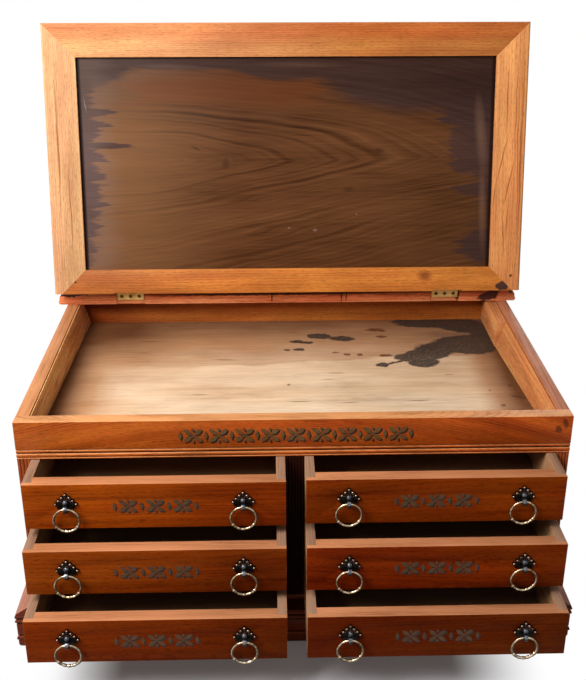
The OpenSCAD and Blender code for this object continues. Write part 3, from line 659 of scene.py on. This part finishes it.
# Lid: honey-coloured oak frame, mitred, round a dark stained walnut panel
lidFace = cornersOf("hinge_strip")[0].z  # height of the frame's underside with the lid shut
lidMarks = {"face": "lid", "level": lidFace, "depth": 6}
holeMarks = dict(lidMarks, colour="#3a1a0c", grit=6, ragged=0.3, soft=0.5)
lidOak = dict(caseOak, grain="lidX", ease=0.5, colour="#dca169", edge="#eab27a", sheen=0.12,
              spread=0.7, blush="#f2dee4", blushShare=0.85, poreDepth=0.75, poreLevel=0.42)
ringLines = dict(lidMarks, colour="#8e4420", grit=70, ragged=0.12, soft=0.8, share=0.8)
# The fades on the lid boards are painted light: the lamp's falloff and sheen from the left
lidBoards = {
    "lid_front_rail": dict(lidOak, pith=(0, 330, 860), fades=[
        ("lid", 0, -200, 120, "#e6c99c"), ("lid", 1, -205, -222, "#fce0dc")], marks=[
        dict(holeMarks, spots=[(-364, -206, 2.5, 2.5, 0), (362, -204, 3, 3, 0)])]),
    "lid_rear_rail": dict(lidOak, pith=(0, 300, 470), colour="#ca7b34", fades=[
        ("lid", 0, -60, -300, "#e0dcf0")], marks=[
        dict(lidMarks, colour="#7c3a18", grit=8, ragged=0.3, soft=0.7, share=0.8,
             spots=[(233, 175, 15, 12, 0)]),
        dict(holeMarks, spots=[(-361, 181, 3, 2.5, 0)]),
        dict(lidMarks, colour="#221a22", grit=10, ragged=1.2, soft=0.2,
             spots=[(366, 193, 12, 9, 0)])]),
    "lid_stiles": dict(lidOak, grain="lidY", pith=(430, 300, 600), colour="#e0ae7a", fades=[
        ("lid", 0, -380, 380, "#fcdcb8")], marks=[
        dict(ringLines, spots=[
            (363, -120, 78, 1.5, 89), (358, -20, 52, 1.5, 104), (346, 40, 30, 1.3, 97),
            (378, -100, 96, 1.3, 89), (370, 20, 54, 1.6, 103), (364, 104, 50, 1.4, 87),
            (370, 80, 44, 1.2, 92), (389, -20, 170, 2.4, 90), (384, -40, 180, 1.2, 89),
            (-378, -40, 150, 2.4, 90), (-362, 60, 120, 1.2, 90)]),
        dict(holeMarks, spots=[(380, 176, 3, 3, 0)])]),
}
for nodeName, look in lidBoards.items():
    dressBoard(nodeName, look)

panelLook = {
    "ease": 0.3,
    "noises": {  # length, width and depth in mm, and detail
        "wander": (260, 55, 400, 2.0), "fibres": (90, 1.8, 400, 3.0),
        "patches": (190, 45, 400, 3.0), "streaks": (110, 4, 400, 4.0),
        "tongues": (240, 26, 400, 4.0), "strength": (120, 60, 400, 2.0)},
    "shares": {"fibres": 0.45, "patches": 0.6, "streaks": 0.3},
    "lineShare": 0.6, "middleTone": 0.52,
    "lineStrength": (2.2, 0.75),  # how much the lines come and go, and their middle strength
    "colour": "#57341b",
    "tones": ((0.14, 0.25), (0.36, 0.62), (0.52, 1.0), (0.7, 1.4), (0.9, 2.0)),
    "lift": (20, 200, 0.09),  # mm over which the wood lightens to the right, and by how much
    "heart": (-202, -22),  # mm on the shut lid, the middle of the nested arcs
    "drawnOut": 4.6,  # the arcs are this much longer than they are wide
    "slant": (60, 0.12),  # mm to where the lines on the hinge side climb to the right, and how much
    "wander": 15,  # mm that a line strays
    "lineWidth": 5.5,  # mm
    "pointed": 0.3,  # 0 draws the arcs as ellipses, 1 as lozenges
    "darkArcs": (  # mm out and wide, depth
        (26, 1.6, 0.5), (45, 2.2, 0.9), (62, 2, 0.6), (77, 3, 1.0)),
    "arcShares": (1.6, 0.24),  # what the widths and depths are multiplied by
    "roughRange": (-0.15, 0.15, 0.42, 0.58),  # of the patches, and the roughness there
    "sheen": 0.07,
    "outside": (372, 374, 1.0),  # mm up on the shut lid, where the wear of the inside ends
    # Fades are mm where they start and end, mm that their edge strays, and the most of them
    "tongueShare": 1.3,  # of what makes the edge stray, beside the streaks
    "paintedSheen": ((-60, -300, 60, 0.45), "#886140"),  # painted sheen, pale towards the lamp on the left
    # Bare warm wood near the top: the height of its middle, then how it fades up, right and left
    "glowUp": -135.0, "glowFades": ((40, 8, 30, 0.3), (75, 30, 90, 1.0), (-285, -245, 110, 1.0)),
    "glowColour": "#83481f",
    "marginColour": "#3c2926", "marginTones": ((0.2, 0.7), (0.5, 1.0), (0.8, 1.5)),
    "margins": [  # dark varnish left along the top and the two ends: share, then spots
        (0.9, [(-150, -190, 260, 25, 0), (0, -192, 110, 49, 0), (200, -192, 190, 104, 3),
               (306, -110, 60, 46, 0), (-350, -186, 128, 58, -8), (-352, -40, 44, 230, 0),
               (-300, -46, 50, 5, 0), (-318, -100, 40, 6, 0), (-322, -78, 40, 3, 0),
               (-326, 6, 36, 9, 0), (-326, 50, 32, 7, 0), (-330, 88, 26, 5, 0),
               (-324, -22, 30, 4, 0)]),
        (0.75, [(300, -36, 34, 44, 0), (330, 30, 50, 12, 0), (330, 126, 46, 30, 0),
                (350, -40, 34, 130, 0)]),
        (0.4, [(356, -40, 60, 150, 0), (356, 120, 60, 60, 0)]),
    ],
    # Painted sheen again, greyish over the left margin
    "paintedSheenOverMargin": ((-270, -320, 40, 0.2), "#8c7672"),
    "topFade": ((-50, -140), "#d2c6b6"),  # mm over which it darkens towards the top, and the tint
    "blotsAndReflections": [  # colour, share, spots: dark blots, a scratch and nicks, and pale painted reflections
        ("#22120c", 0.6, [(-103, -16, 9, 13, 0), (-152, -41, 11, 3, 30), (153, -36, 12, 8, 0),
                          (102, 28, 14, 6, 0)]),
        ("#a48a80", 0.6, [(-331, -112, 15, 1.0, 82), (116, 70, 3, 2, 0), (46, 96, 5, 3, 0),
                          (2, 92, 3, 2, 0)]),
        # Painted reflections: a soft pale patch on the right and faint pale streaks near the top
        ("#8e6a56", 0.45, [(322, -60, 78, 12, 84), (328, 60, 90, 8, 88)]),
        ("#8e6a56", 0.15, [(20, -174, 90, 6, 1), (-190, -172, 70, 6, 2)])],
    "endShadowLine": (335.5, 338.5, 0.85),  # mm out from the middle to the painted shadow of the frame along each end
    "endShadowColour": "#180b08",
}


def walnutPanel(name, look):
    # Black walnut veneer, flat sawn: nested arcs under a thin worn varnish, violet at the margins,
    # with painted sheen, painted reflections and a painted shadow along each end
    material, tree = newMaterial(name)
    place = facePlace(tree, "lid")
    noises = {part: addNode(tree, "Math SUBTRACT", drawnNoise(tree, place, *shape), 0.5)
              for part, shape in look["noises"].items()}
    centred = addNode(tree, "VectorMath SUBTRACT", place, (*look["heart"], 0))
    centred = addNode(tree, "SeparateXYZ", centred)
    along, across = centred.outputs["X"], centred.outputs["Y"]
    whole, slant = look["slant"]
    hinge = addNode(tree, "MapRange", across, 0, whole, 0, slant)
    across = addNode(tree, "Math MULTIPLY_ADD", along, hinge, across)
    across = addNode(tree, "Math MULTIPLY_ADD", noises["wander"], look["wander"] * 2, across)
    along = addNode(tree, "Math MAXIMUM", along, 0.0)
    along = addNode(tree, "Math DIVIDE", along, look["drawnOut"])
    out = addNode(tree, "CombineXYZ", {"X": along, "Y": across})
    rounded = addNode(tree, "VectorMath LENGTH", out)
    straight = addNode(tree, "VectorMath ABSOLUTE", out)
    straight = addNode(tree, "VectorMath DOT_PRODUCT", straight, (1, 1, 0))
    out = addNode(tree, "Mix", {0: look["pointed"], 2: rounded, 3: straight})
    lines = addNode(tree, "TexNoise", {"W": out, "Scale": 1 / look["lineWidth"], "Detail": 2.0},
                    noise_dimensions="1D")
    lines = addNode(tree, "Math SUBTRACT", lines, 0.5)
    swing, middle = look["lineStrength"]
    strength = addNode(tree, "Math MULTIPLY_ADD", noises["strength"], swing, middle)
    lines = addNode(tree, "Math MULTIPLY", lines, strength)
    tone = addNode(tree, "Math MULTIPLY_ADD", lines, look["lineShare"], look["middleTone"])
    for part, share in look["shares"].items():
        tone = addNode(tree, "Math MULTIPLY_ADD", noises[part], share, tone)
    widen, deepen = look["arcShares"]
    for arcOut, arcWidth, depth in look["darkArcs"]:
        arc = addNode(tree, "Math SUBTRACT", out, arcOut)
        arc = addNode(tree, "Math ABSOLUTE", arc)
        arc = addNode(tree, "MapRange", arc, 0, arcWidth * widen, depth * deepen, 0.0,
                      interpolation_type="SMOOTHSTEP")
        arc = addNode(tree, "Math MULTIPLY", arc, strength)
        tone = addNode(tree, "Math SUBTRACT", tone, arc)
    seat = addNode(tree, "SeparateXYZ", place)
    x, y = seat.outputs["X"], seat.outputs["Y"]
    start, end, most = look["lift"]
    lift = addNode(tree, "MapRange", x, start, end, 0, most)
    tone = addNode(tree, "Math ADD", tone, lift)
    plain, violet = (
        addNode(tree, "ValToRGB", tone,
                stops=[(at, shade(look[colour], level)) for at, level in look[tones]])
        for colour, tones in (("colour", "tones"), ("marginColour", "marginTones")))

    def fadeMask(value, start, end, raggedness, most):
        # Grows from start to end, in mm, with a streaky boundary
        shifted = addNode(tree, "Math MULTIPLY_ADD", noises["tongues"], look["tongueShare"],
                          noises["streaks"])
        shifted = addNode(tree, "Math MULTIPLY_ADD", shifted, raggedness, value)
        return addNode(tree, "MapRange", shifted, start, end, 0, most,
                       interpolation_type="SMOOTHSTEP")

    fade, tint = look["paintedSheen"]
    coats = [(fadeMask(x, *fade), tint)]
    fromGlow = addNode(tree, "Math SUBTRACT", y, look["glowUp"])
    fromGlow = addNode(tree, "Math ABSOLUTE", fromGlow)
    up, right, left = (fadeMask(value, *fade) for value, fade in
                       zip((fromGlow, x, x), look["glowFades"]))
    glow = addNode(tree, "Math MULTIPLY", up, right)
    coats.append((addNode(tree, "Math MULTIPLY", glow, left), look["glowColour"]))
    for share, spots in look["margins"]:
        marks = dict(lidMarks, depth=60, grit=6, streak=8, ragged=1.7, soft=0.2, share=share,
                     spots=spots)
        coats.append((markMask(tree, marks), violet))
    fade, tint = look["paintedSheenOverMargin"]
    coats.append((fadeMask(x, *fade), tint))
    (start, end), fadeTint = look["topFade"]
    coats.append((addNode(tree, "MapRange", y, start, end), fadeTint, "MULTIPLY"))
    for tint, share, spots in look["blotsAndReflections"]:
        marks = dict(lidMarks, depth=20, grit=8, ragged=0.5, soft=0.9, share=share, spots=spots)
        coats.append((markMask(tree, marks), tint))
    # A painted shadow of the frame along each end, then the plain outside face
    fromMiddle = addNode(tree, "Math ABSOLUTE", x)
    for value, (start, end, most), coat in (
            (fromMiddle, look["endShadowLine"], look["endShadowColour"]),
            (seat.outputs["Z"], look["outside"], plain)):
        coats.append((addNode(tree, "MapRange", value, start, end, 0, most), coat))
    rough = addNode(tree, "MapRange", noises["patches"], *look["roughRange"])
    finishMaterial(tree, plain, coats, {"Roughness": rough, "IOR": 1.5,
                                        "Specular IOR Level": look["sheen"]}, (0.2, 0.2, tone))
    return material


dressNode("lid_panel", walnutPanel("varnishedWalnut_lid_panel", panelLook), panelLook["ease"])

stripLow, stripHigh = cornersOf("hinge_strip")
stripMarks = {"face": "front", "level": -stripLow.y, "depth": 8, "grit": 4, "ragged": 0.5,
              "soft": 0.3}
stripLook = dict(caseOak, pith=(0, 150, 420), ease=0.5, colour="#fb9c66", blush="#f4bcb4", marks=[
    dict(stripMarks, colour="#1e0c08", spots=[(-28, 374, 12, 1.4, 88), (92, 374, 12, 1.3, 92),
                                              (101, 374, 12, 1.2, 86), (294, 375, 13, 4, 90)]),
    # A painted shadow line just under the strip's top, where the lid overhangs it
    dict(stripMarks, colour="#2e0c06", grit=14, ragged=0.35, soft=0.6, share=0.95,
         spots=[(-20, stripHigh.z - 4.5, 400, 4.6, 0)]),
    dict(stripMarks, colour="#1c1a22", depth=20, grit=12, ragged=1.2, soft=0.3, spots=[
        (-372, 380, 34, 4, 4), (346, 372, 20, 9, 22), (358, 379, 14, 12, 80),
        (380, 384, 14, 3, -30)]),
])
dressBoard("hinge_strip", stripLook)
print("lid dressed")


# Drawers: red-brown fronts, lighter sides with bare tops, dark insides
frontOak = dict(caseOak, rough=0.42, top="#c8855a", spread=0.8, sheen=0.02)
frontColours = {  # colour, where its painted light fade starts and ends in mm, and the fade's tint
    # Fronts lower down and on the right are darker partly as painted shade, and each fade is
    # painted shade towards the middle
    "upper_left": ("#934207", -300, -60, "#e1cccc"),
    "upper_right": ("#863704", 300, 60, "#d5d0cc"),
    "middle_left": ("#833b07", -300, -60, "#dcc6cc"),
    "middle_right": ("#772d03", 300, 60, "#eed1cc"),
    "lower_left": ("#6f2903", -300, -60, "#dce1cc"),
    "lower_right": ("#622602", 300, 60, "#eaccc8"),
}
boxOak = dict(innerOak, grain="y", top="#906d58", topShare=0.85, rough=0.55, ease=0.4,
              colour="#a8845e", spread=0.7)
bottomPine = dict(pineBoard, ease=0.3, colour="#8a6a4c")
boxWood = woodMaterial("bareOak_drawer_box", boxOak)
bottomWood = woodMaterial("barePine_drawer_bottom", bottomPine)
for i, name in enumerate(drawerNames):
    low, high = cornersOf(name + "_front")
    middle = (low + high) / 2
    colour, start, end, fadeTint = frontColours[name]
    # Each front is cut from another place in the log
    pith = middle + Vector((70 * math.sin(2.6 * i), 70 + 11 * i, -46 + 22 * math.cos(2.1 * i)))
    dressBoard(name + "_front", dict(
        frontOak, colour=colour, fades=[("front", 0, start, end, fadeTint)], pith=pith,
        tilt=(0, 1.4 * math.sin(1.7 * i), 0), arch=0.0002 * math.cos(1.3 * i)))
    dressNode(name + "_box", boxWood, boxOak["ease"])
    dressNode(name + "_bottom", bottomWood, bottomPine["ease"])
print("drawers dressed")


# Stencilled bands on the header and the drawer fronts: rosettes and lozenges over a dark shade
bandLook = {
    "coats": {  # colour, what shows through, and how much of it
        "header": ("oilPaint_bronze", "#54421f", "#7a3a14", 0.75),
        "drawer": ("oilPaint_bronze_drawers", "#3d2f17", "#5e2c10", 0.75),
        "shadow": ("oilPaint_black", "#140803", "#4a1c0a", 0.6)},
    "shifts": {"shadow": (2.1, -2.2), "paint": (0, 0)},  # mm to the right and up
    "lifts": {"shadow": 0.05, "paint": 0.10},  # mm proud of the board
    "headerMiddle": (1, 340),
    # Sizes of the shapes as shares of the height
    "petal": (0.58, 0.27), "petalTurns": (38, 142, 218, 322), "petalGap": 0.06,
    "eye": (0.2, 0.2), "tip": (0.16, 0.3), "tipOut": 0.34, "lozenge": (0.22, 0.62),
    "drawer": {"rosettes": 3, "pitch": 36, "height": 23},
    "header": {"rosettes": 9, "pitch": 35, "height": 25},
}


def paintMaterial(name, colour, wornTo, wear):
    # Oil paint put on through a stencil, thin and rubbed, with the wood showing through in specks
    material, tree = newMaterial(name)
    place = facePlace(tree, "front")
    drawn = addNode(tree, "VectorMath MULTIPLY", place, (0.25, 1, 1))
    specks = addNode(tree, "TexNoise", {"Vector": drawn, "Scale": 1 / 2.2, "Detail": 3.0})
    specks = addNode(tree, "MapRange", specks, 0.45, 0.62, 0, wear)
    clouds = addNode(tree, "TexNoise", {"Vector": place, "Scale": 1 / 16, "Detail": 3.0})
    ground = addNode(tree, "ValToRGB", clouds, stops=[(0.3, shade(colour, 0.6)), (0.5, colour),
                                                      (0.72, shade(colour, 1.5))])
    finishMaterial(tree, ground, [(specks, wornTo)], {"Roughness": 0.5, "IOR": 1.5,
                                                      "Specular IOR Level": 0.25})
    return material


def bandMesh(name, middle, faceY, look, shift, lift):
    # Thin shapes on the board at faceY: rosettes of four petals with upright lozenges between them
    bm = bmesh.new()
    tall = look["height"]

    def shape(segments, x, z, size, turn=0, pointed=False):
        made = bmesh.ops.create_circle(bm, cap_ends=True, segments=segments, radius=1.0)["verts"]
        for v in made:
            if pointed:
                v.co.y *= math.sqrt(max(0, 1 - v.co.x ** 2))
        bmesh.ops.scale(bm, vec=(size[0] * tall / 2, size[1] * tall / 2, 1), verts=made)
        bmesh.ops.rotate(bm, matrix=Matrix.Rotation(math.radians(turn), 3, "Z"), verts=made)
        bmesh.ops.translate(bm, vec=(x, z, 0), verts=made)

    reach = tall * (bandLook["petal"][0] / 2 + bandLook["petalGap"])
    for i in range(look["rosettes"]):
        x = look["pitch"] * (i - (look["rosettes"] - 1) / 2)
        for turn in bandLook["petalTurns"]:
            way = math.radians(turn)
            shape(16, x + reach * math.cos(way), reach * math.sin(way), bandLook["petal"], turn,
                  pointed=True)
        shape(10, x, 0, bandLook["eye"])
        for side in (1, -1):
            shape(4, x, side * tall * bandLook["tipOut"], bandLook["tip"])
    for i in range(look["rosettes"] + 1):
        shape(4, look["pitch"] * (i - look["rosettes"] / 2), 0, bandLook["lozenge"])
    bmesh.ops.rotate(bm, matrix=Matrix.Rotation(math.radians(90), 3, "X"), verts=bm.verts)
    bmesh.ops.translate(bm, vec=(middle[0] + shift[0], faceY - lift, middle[1] + shift[1]),
                        verts=bm.verts)
    made = bmesh.ops.extrude_face_region(bm, geom=bm.faces[:])
    bmesh.ops.translate(bm, verts=[g for g in made["geom"] if isinstance(g, bmesh.types.BMVert)],
                        vec=(0, lift, 0))
    bmesh.ops.recalc_face_normals(bm, faces=bm.faces)
    bmesh.ops.scale(bm, vec=(mm, mm, mm), verts=bm.verts)
    return newMesh(name, bm)


bandPaints = {kind: paintMaterial(*coat) for kind, coat in bandLook["coats"].items()}
for name in ["header"] + drawerNames:
    kind = "header" if name == "header" else "drawer"
    nodeName = name if name == "header" else name + "_front"
    low, high = cornersOf(nodeName)
    middle = ((low.x + high.x) / 2, (low.z + high.z) / 2)
    if name == "header":
        middle = bandLook["headerMiddle"]
    for coat, lift in bandLook["lifts"].items():
        pieceName = f"{name}_band_{coat}"
        mesh = bandMesh(pieceName, middle, low.y, bandLook[kind], bandLook["shifts"][coat], lift)
        addPiece(pieceName, mesh, bandPaints[kind if coat == "paint" else coat], nodeName,
                 standsIn=False)
print("bands stencilled")


tarnishAndShadeLook = {
    "fine": (0.3, 0.5),  # of the patches, where the rubbed metal begins and is whole
    # The side that faces the lamp at the upper left; the other sides take painted shade
    "litSide": (-0.42, 0, 0.9),
    "turnedAway": (0.4, -0.08, 0, 0.92),  # how far from that side, and how much painted shade is left there
    "roughRange": (0.3, 0.7, 0.12, -0.05),  # of the patches, and what each end adds
}


def metalMaterial(name, look):
    # Old metal: bright where hands rub it, which also paints its highlights, and dull in the
    # hollows, with painted shade on the sides turned from the lamp. The "proud" attribute is how
    # far a casting's surface stands off the drawer front, in mm.
    material, tree = newMaterial(name)
    patches = addNode(tree, "TexNoise", {"Vector": placeInMm(tree), "Scale": 1 / look["patch"],
                                         "Detail": 4.0})
    colour = addNode(tree, "ValToRGB", patches, stops=look["stops"])
    coats = []
    if "rubbedAndHighlit" in look:
        proud = addNode(tree, "Attribute", attribute_name="proud").outputs["Fac"]
        proud = addNode(tree, "Math DIVIDE", proud, look["rubbedOver"])
        proud = addNode(tree, "ValToRGB", proud, stops=look["rubbedAndHighlit"])
        fine = addNode(tree, "MapRange", patches, *tarnishAndShadeLook["fine"])
        coats.append((fine, proud, "ADD"))
    if "under" in look:  # painted shade: the sides turned away from the lamp at the upper left take a darker colour
        normal = addNode(tree, "TexCoord").outputs["Normal"]
        facing = addNode(tree, "VectorMath DOT_PRODUCT", normal, tarnishAndShadeLook["litSide"])
        facing = addNode(tree, "MapRange", facing, *tarnishAndShadeLook["turnedAway"])
        coats.append((facing, look["under"]))
    low, high, dull, smooth = tarnishAndShadeLook["roughRange"]
    rough = addNode(tree, "MapRange", patches, low, high, look["rough"] + dull,
                    look["rough"] + smooth)
    finishMaterial(tree, colour, coats, {"Metallic": look["metallic"], "Roughness": rough},
                   (look["bump"], 0.2, patches))
    return material


metalLooks = {
    # Rolled brass, dull and pale under a dry skin of lacquer
    "brass": {"patch": 14, "rough": 0.5, "bump": 0.15, "metallic": 0.4, "ease": 0.12,
              "stops": [(0.3, "#c89c4c"), (0.5, "#ecc874"), (0.75, "#fae0a4")]},
    # Steel screws, yellow-brown with age and old lacquer
    "steel": {"patch": 3, "rough": 0.45, "bump": 0.3, "metallic": 0.7, "ease": 0.12,
              "stops": [(0.3, "#4a3818"), (0.6, "#6e5628"), (0.85, "#8e7444")]},
    # Cast bronze, oxidised nearly black, with the beads and the boss rubbed bright, which also
    # paints their highlights, and painted shade on the sides turned from the lamp
    "bronze": {"patch": 3, "rough": 0.36, "bump": 0.5, "metallic": 1.0, "under": "#15120f",
               "stops": [(0.3, "#0d0c0c"), (0.55, "#1d1a18"), (0.85, "#3a322a")],
               "rubbedOver": 10,  # mm proud of the drawer front
               "rubbedAndHighlit": [(0.0, "#000000"), (0.24, "#080808"), (0.33, "#aa826c"), (0.4, "#a07664"),
                          (0.5, "#2c3138"), (1.0, "#6a6c72")]},
    # Nickel plate over brass wire, yellowed and scratched, with painted shade on the sides turned
    # from the lamp
    "nickel": {"patch": 4, "rough": 0.24, "bump": 0.2, "metallic": 1.0, "under": "#3a3024",
               "stops": [(0.3, "#6a5840"), (0.5, "#b09c7e"), (0.75, "#e8dac0")]},
}
metals = {name: metalMaterial(name + "_aged", look) for name, look in metalLooks.items()}

castingLook = {
    "ease": 0.25,
    "fan": range(-75, 76, 25),  # degrees, a ridge at each
    "ridge": (0.75, 0.9, 3.6),  # mm, half sizes
    "ridgeOut": 7.2, "fanUp": 8, "fanProud": 2,  # mm
    "smooth": 40,
}


def castingMesh(nodeName, drawerFace, centres, look):
    # The castings with softened edges, fan ridges on their plates, and their height as an attribute
    mesh = easedCopy(nodeName, look["ease"])
    bm = bmesh.new()
    bm.from_mesh(mesh)
    for x, axisZ in centres:
        for turn in look["fan"]:
            lean = math.radians(turn)
            ridge = bmesh.ops.create_uvsphere(bm, u_segments=8, v_segments=6, radius=1.0)
            at = Vector((x, drawerFace - look["fanProud"], axisZ + look["fanUp"]))
            at += look["ridgeOut"] * Vector((math.sin(lean), 0, math.cos(lean)))
            shape = Matrix.Diagonal((*(Vector(look["ridge"]) * mm), 1))
            turned = Matrix.Translation(at * mm) @ Matrix.Rotation(lean, 4, "Y") @ shape
            bmesh.ops.transform(bm, matrix=turned, verts=ridge["verts"])
    proud = bm.verts.layers.float.new("proud")
    for v in bm.verts:
        v[proud] = drawerFace - v.co.y / mm
    bm.to_mesh(mesh)
    bm.free()
    mesh.shade_smooth()
    mesh.set_sharp_from_angle(angle=math.radians(look["smooth"]))
    return mesh


ringLook = {
    "wire": 1.8, "thinWire": 1.5,  # mm, half thickness at the sides and at the top
    "lowWire": 2.3, "collar": 2.7, "lowArc": 110, "collarArc": 9,
    "knots": 5,  # swellings in the thick lower part
    "steps": 120, "sides": 14,
}


def ringMesh(name, hang, lowest, look):
    # A ring that hangs from a point in mm: thin wire at the top, a collared and knotted part below
    radius = (hang.z - lowest - look["lowWire"]) / 2
    bm = bmesh.new()
    bmesh.ops.create_circle(bm, cap_ends=False, segments=look["sides"], radius=1.0)
    bmesh.ops.translate(bm, verts=bm.verts, vec=(radius, 0, 0))
    bmesh.ops.spin(bm, geom=bm.verts[:] + bm.edges[:], cent=(0, 0, 0), axis=(0, 1, 0),
                   angle=math.tau, steps=look["steps"], use_merge=True)
    bmesh.ops.remove_doubles(bm, verts=bm.verts, dist=1e-4)
    half = look["lowArc"] / 2
    for v in bm.verts:
        turn = math.degrees(math.atan2(v.co.x, -v.co.z))  # from the lowest point
        fromCollar = abs(abs(turn) - half)
        if abs(turn) < half:
            beat = abs(math.sin(math.radians(turn + half) * 180 / look["lowArc"] * look["knots"]))
            wire = look["lowWire"] * (0.78 + 0.22 * beat)
        else:
            down = (180 - abs(turn)) / (180 - half)  # 0 at the top, 1 at the collars
            wire = look["thinWire"] + (look["wire"] - look["thinWire"]) * down
        if fromCollar < look["collarArc"] / 2:
            wire = look["collar"] * (1 - 0.2 * (fromCollar * 2 / look["collarArc"]) ** 2)
        outward = Vector((v.co.x, 0, v.co.z))
        off = outward.length - radius
        v.co = outward.normalized() * (radius + off * wire) + Vector((0, v.co.y * wire, 0))
    bmesh.ops.translate(bm, verts=bm.verts, vec=(hang.x, hang.y, hang.z - radius))
    bmesh.ops.scale(bm, vec=(mm, mm, mm), verts=bm.verts)
    bmesh.ops.recalc_face_normals(bm, faces=bm.faces)
    mesh = newMesh(name, bm)
    mesh.shade_smooth()
    return mesh


for name in drawerNames:
    centres = []
    for side in ("left", "right"):
        nodeName = f"{name}_ring_{side}"
        hang = Vector(jointOf[frame["nodes"][nodeName]["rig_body"]]["pos_m"]) / mm
        centres.append((hang.x, hang.z))
        mesh = ringMesh(nodeName + "_drawn", hang, cornersOf(nodeName)[0].z, ringLook)
        addPiece(nodeName + "_drawn", mesh, metals["nickel"], nodeName)
    nodeName = name + "_pulls"
    mesh = castingMesh(nodeName, cornersOf(name + "_front")[0].y, centres, castingLook)
    addPiece(nodeName + "_cast", mesh, metals["bronze"], nodeName)
for nodeName, slotName in slotOf.items():
    if slotName == "brass":
        metal = "steel" if "screws" in nodeName else "brass"
        dressNode(nodeName, metals[metal], metalLooks[metal]["ease"])
print("metalwork dressed")
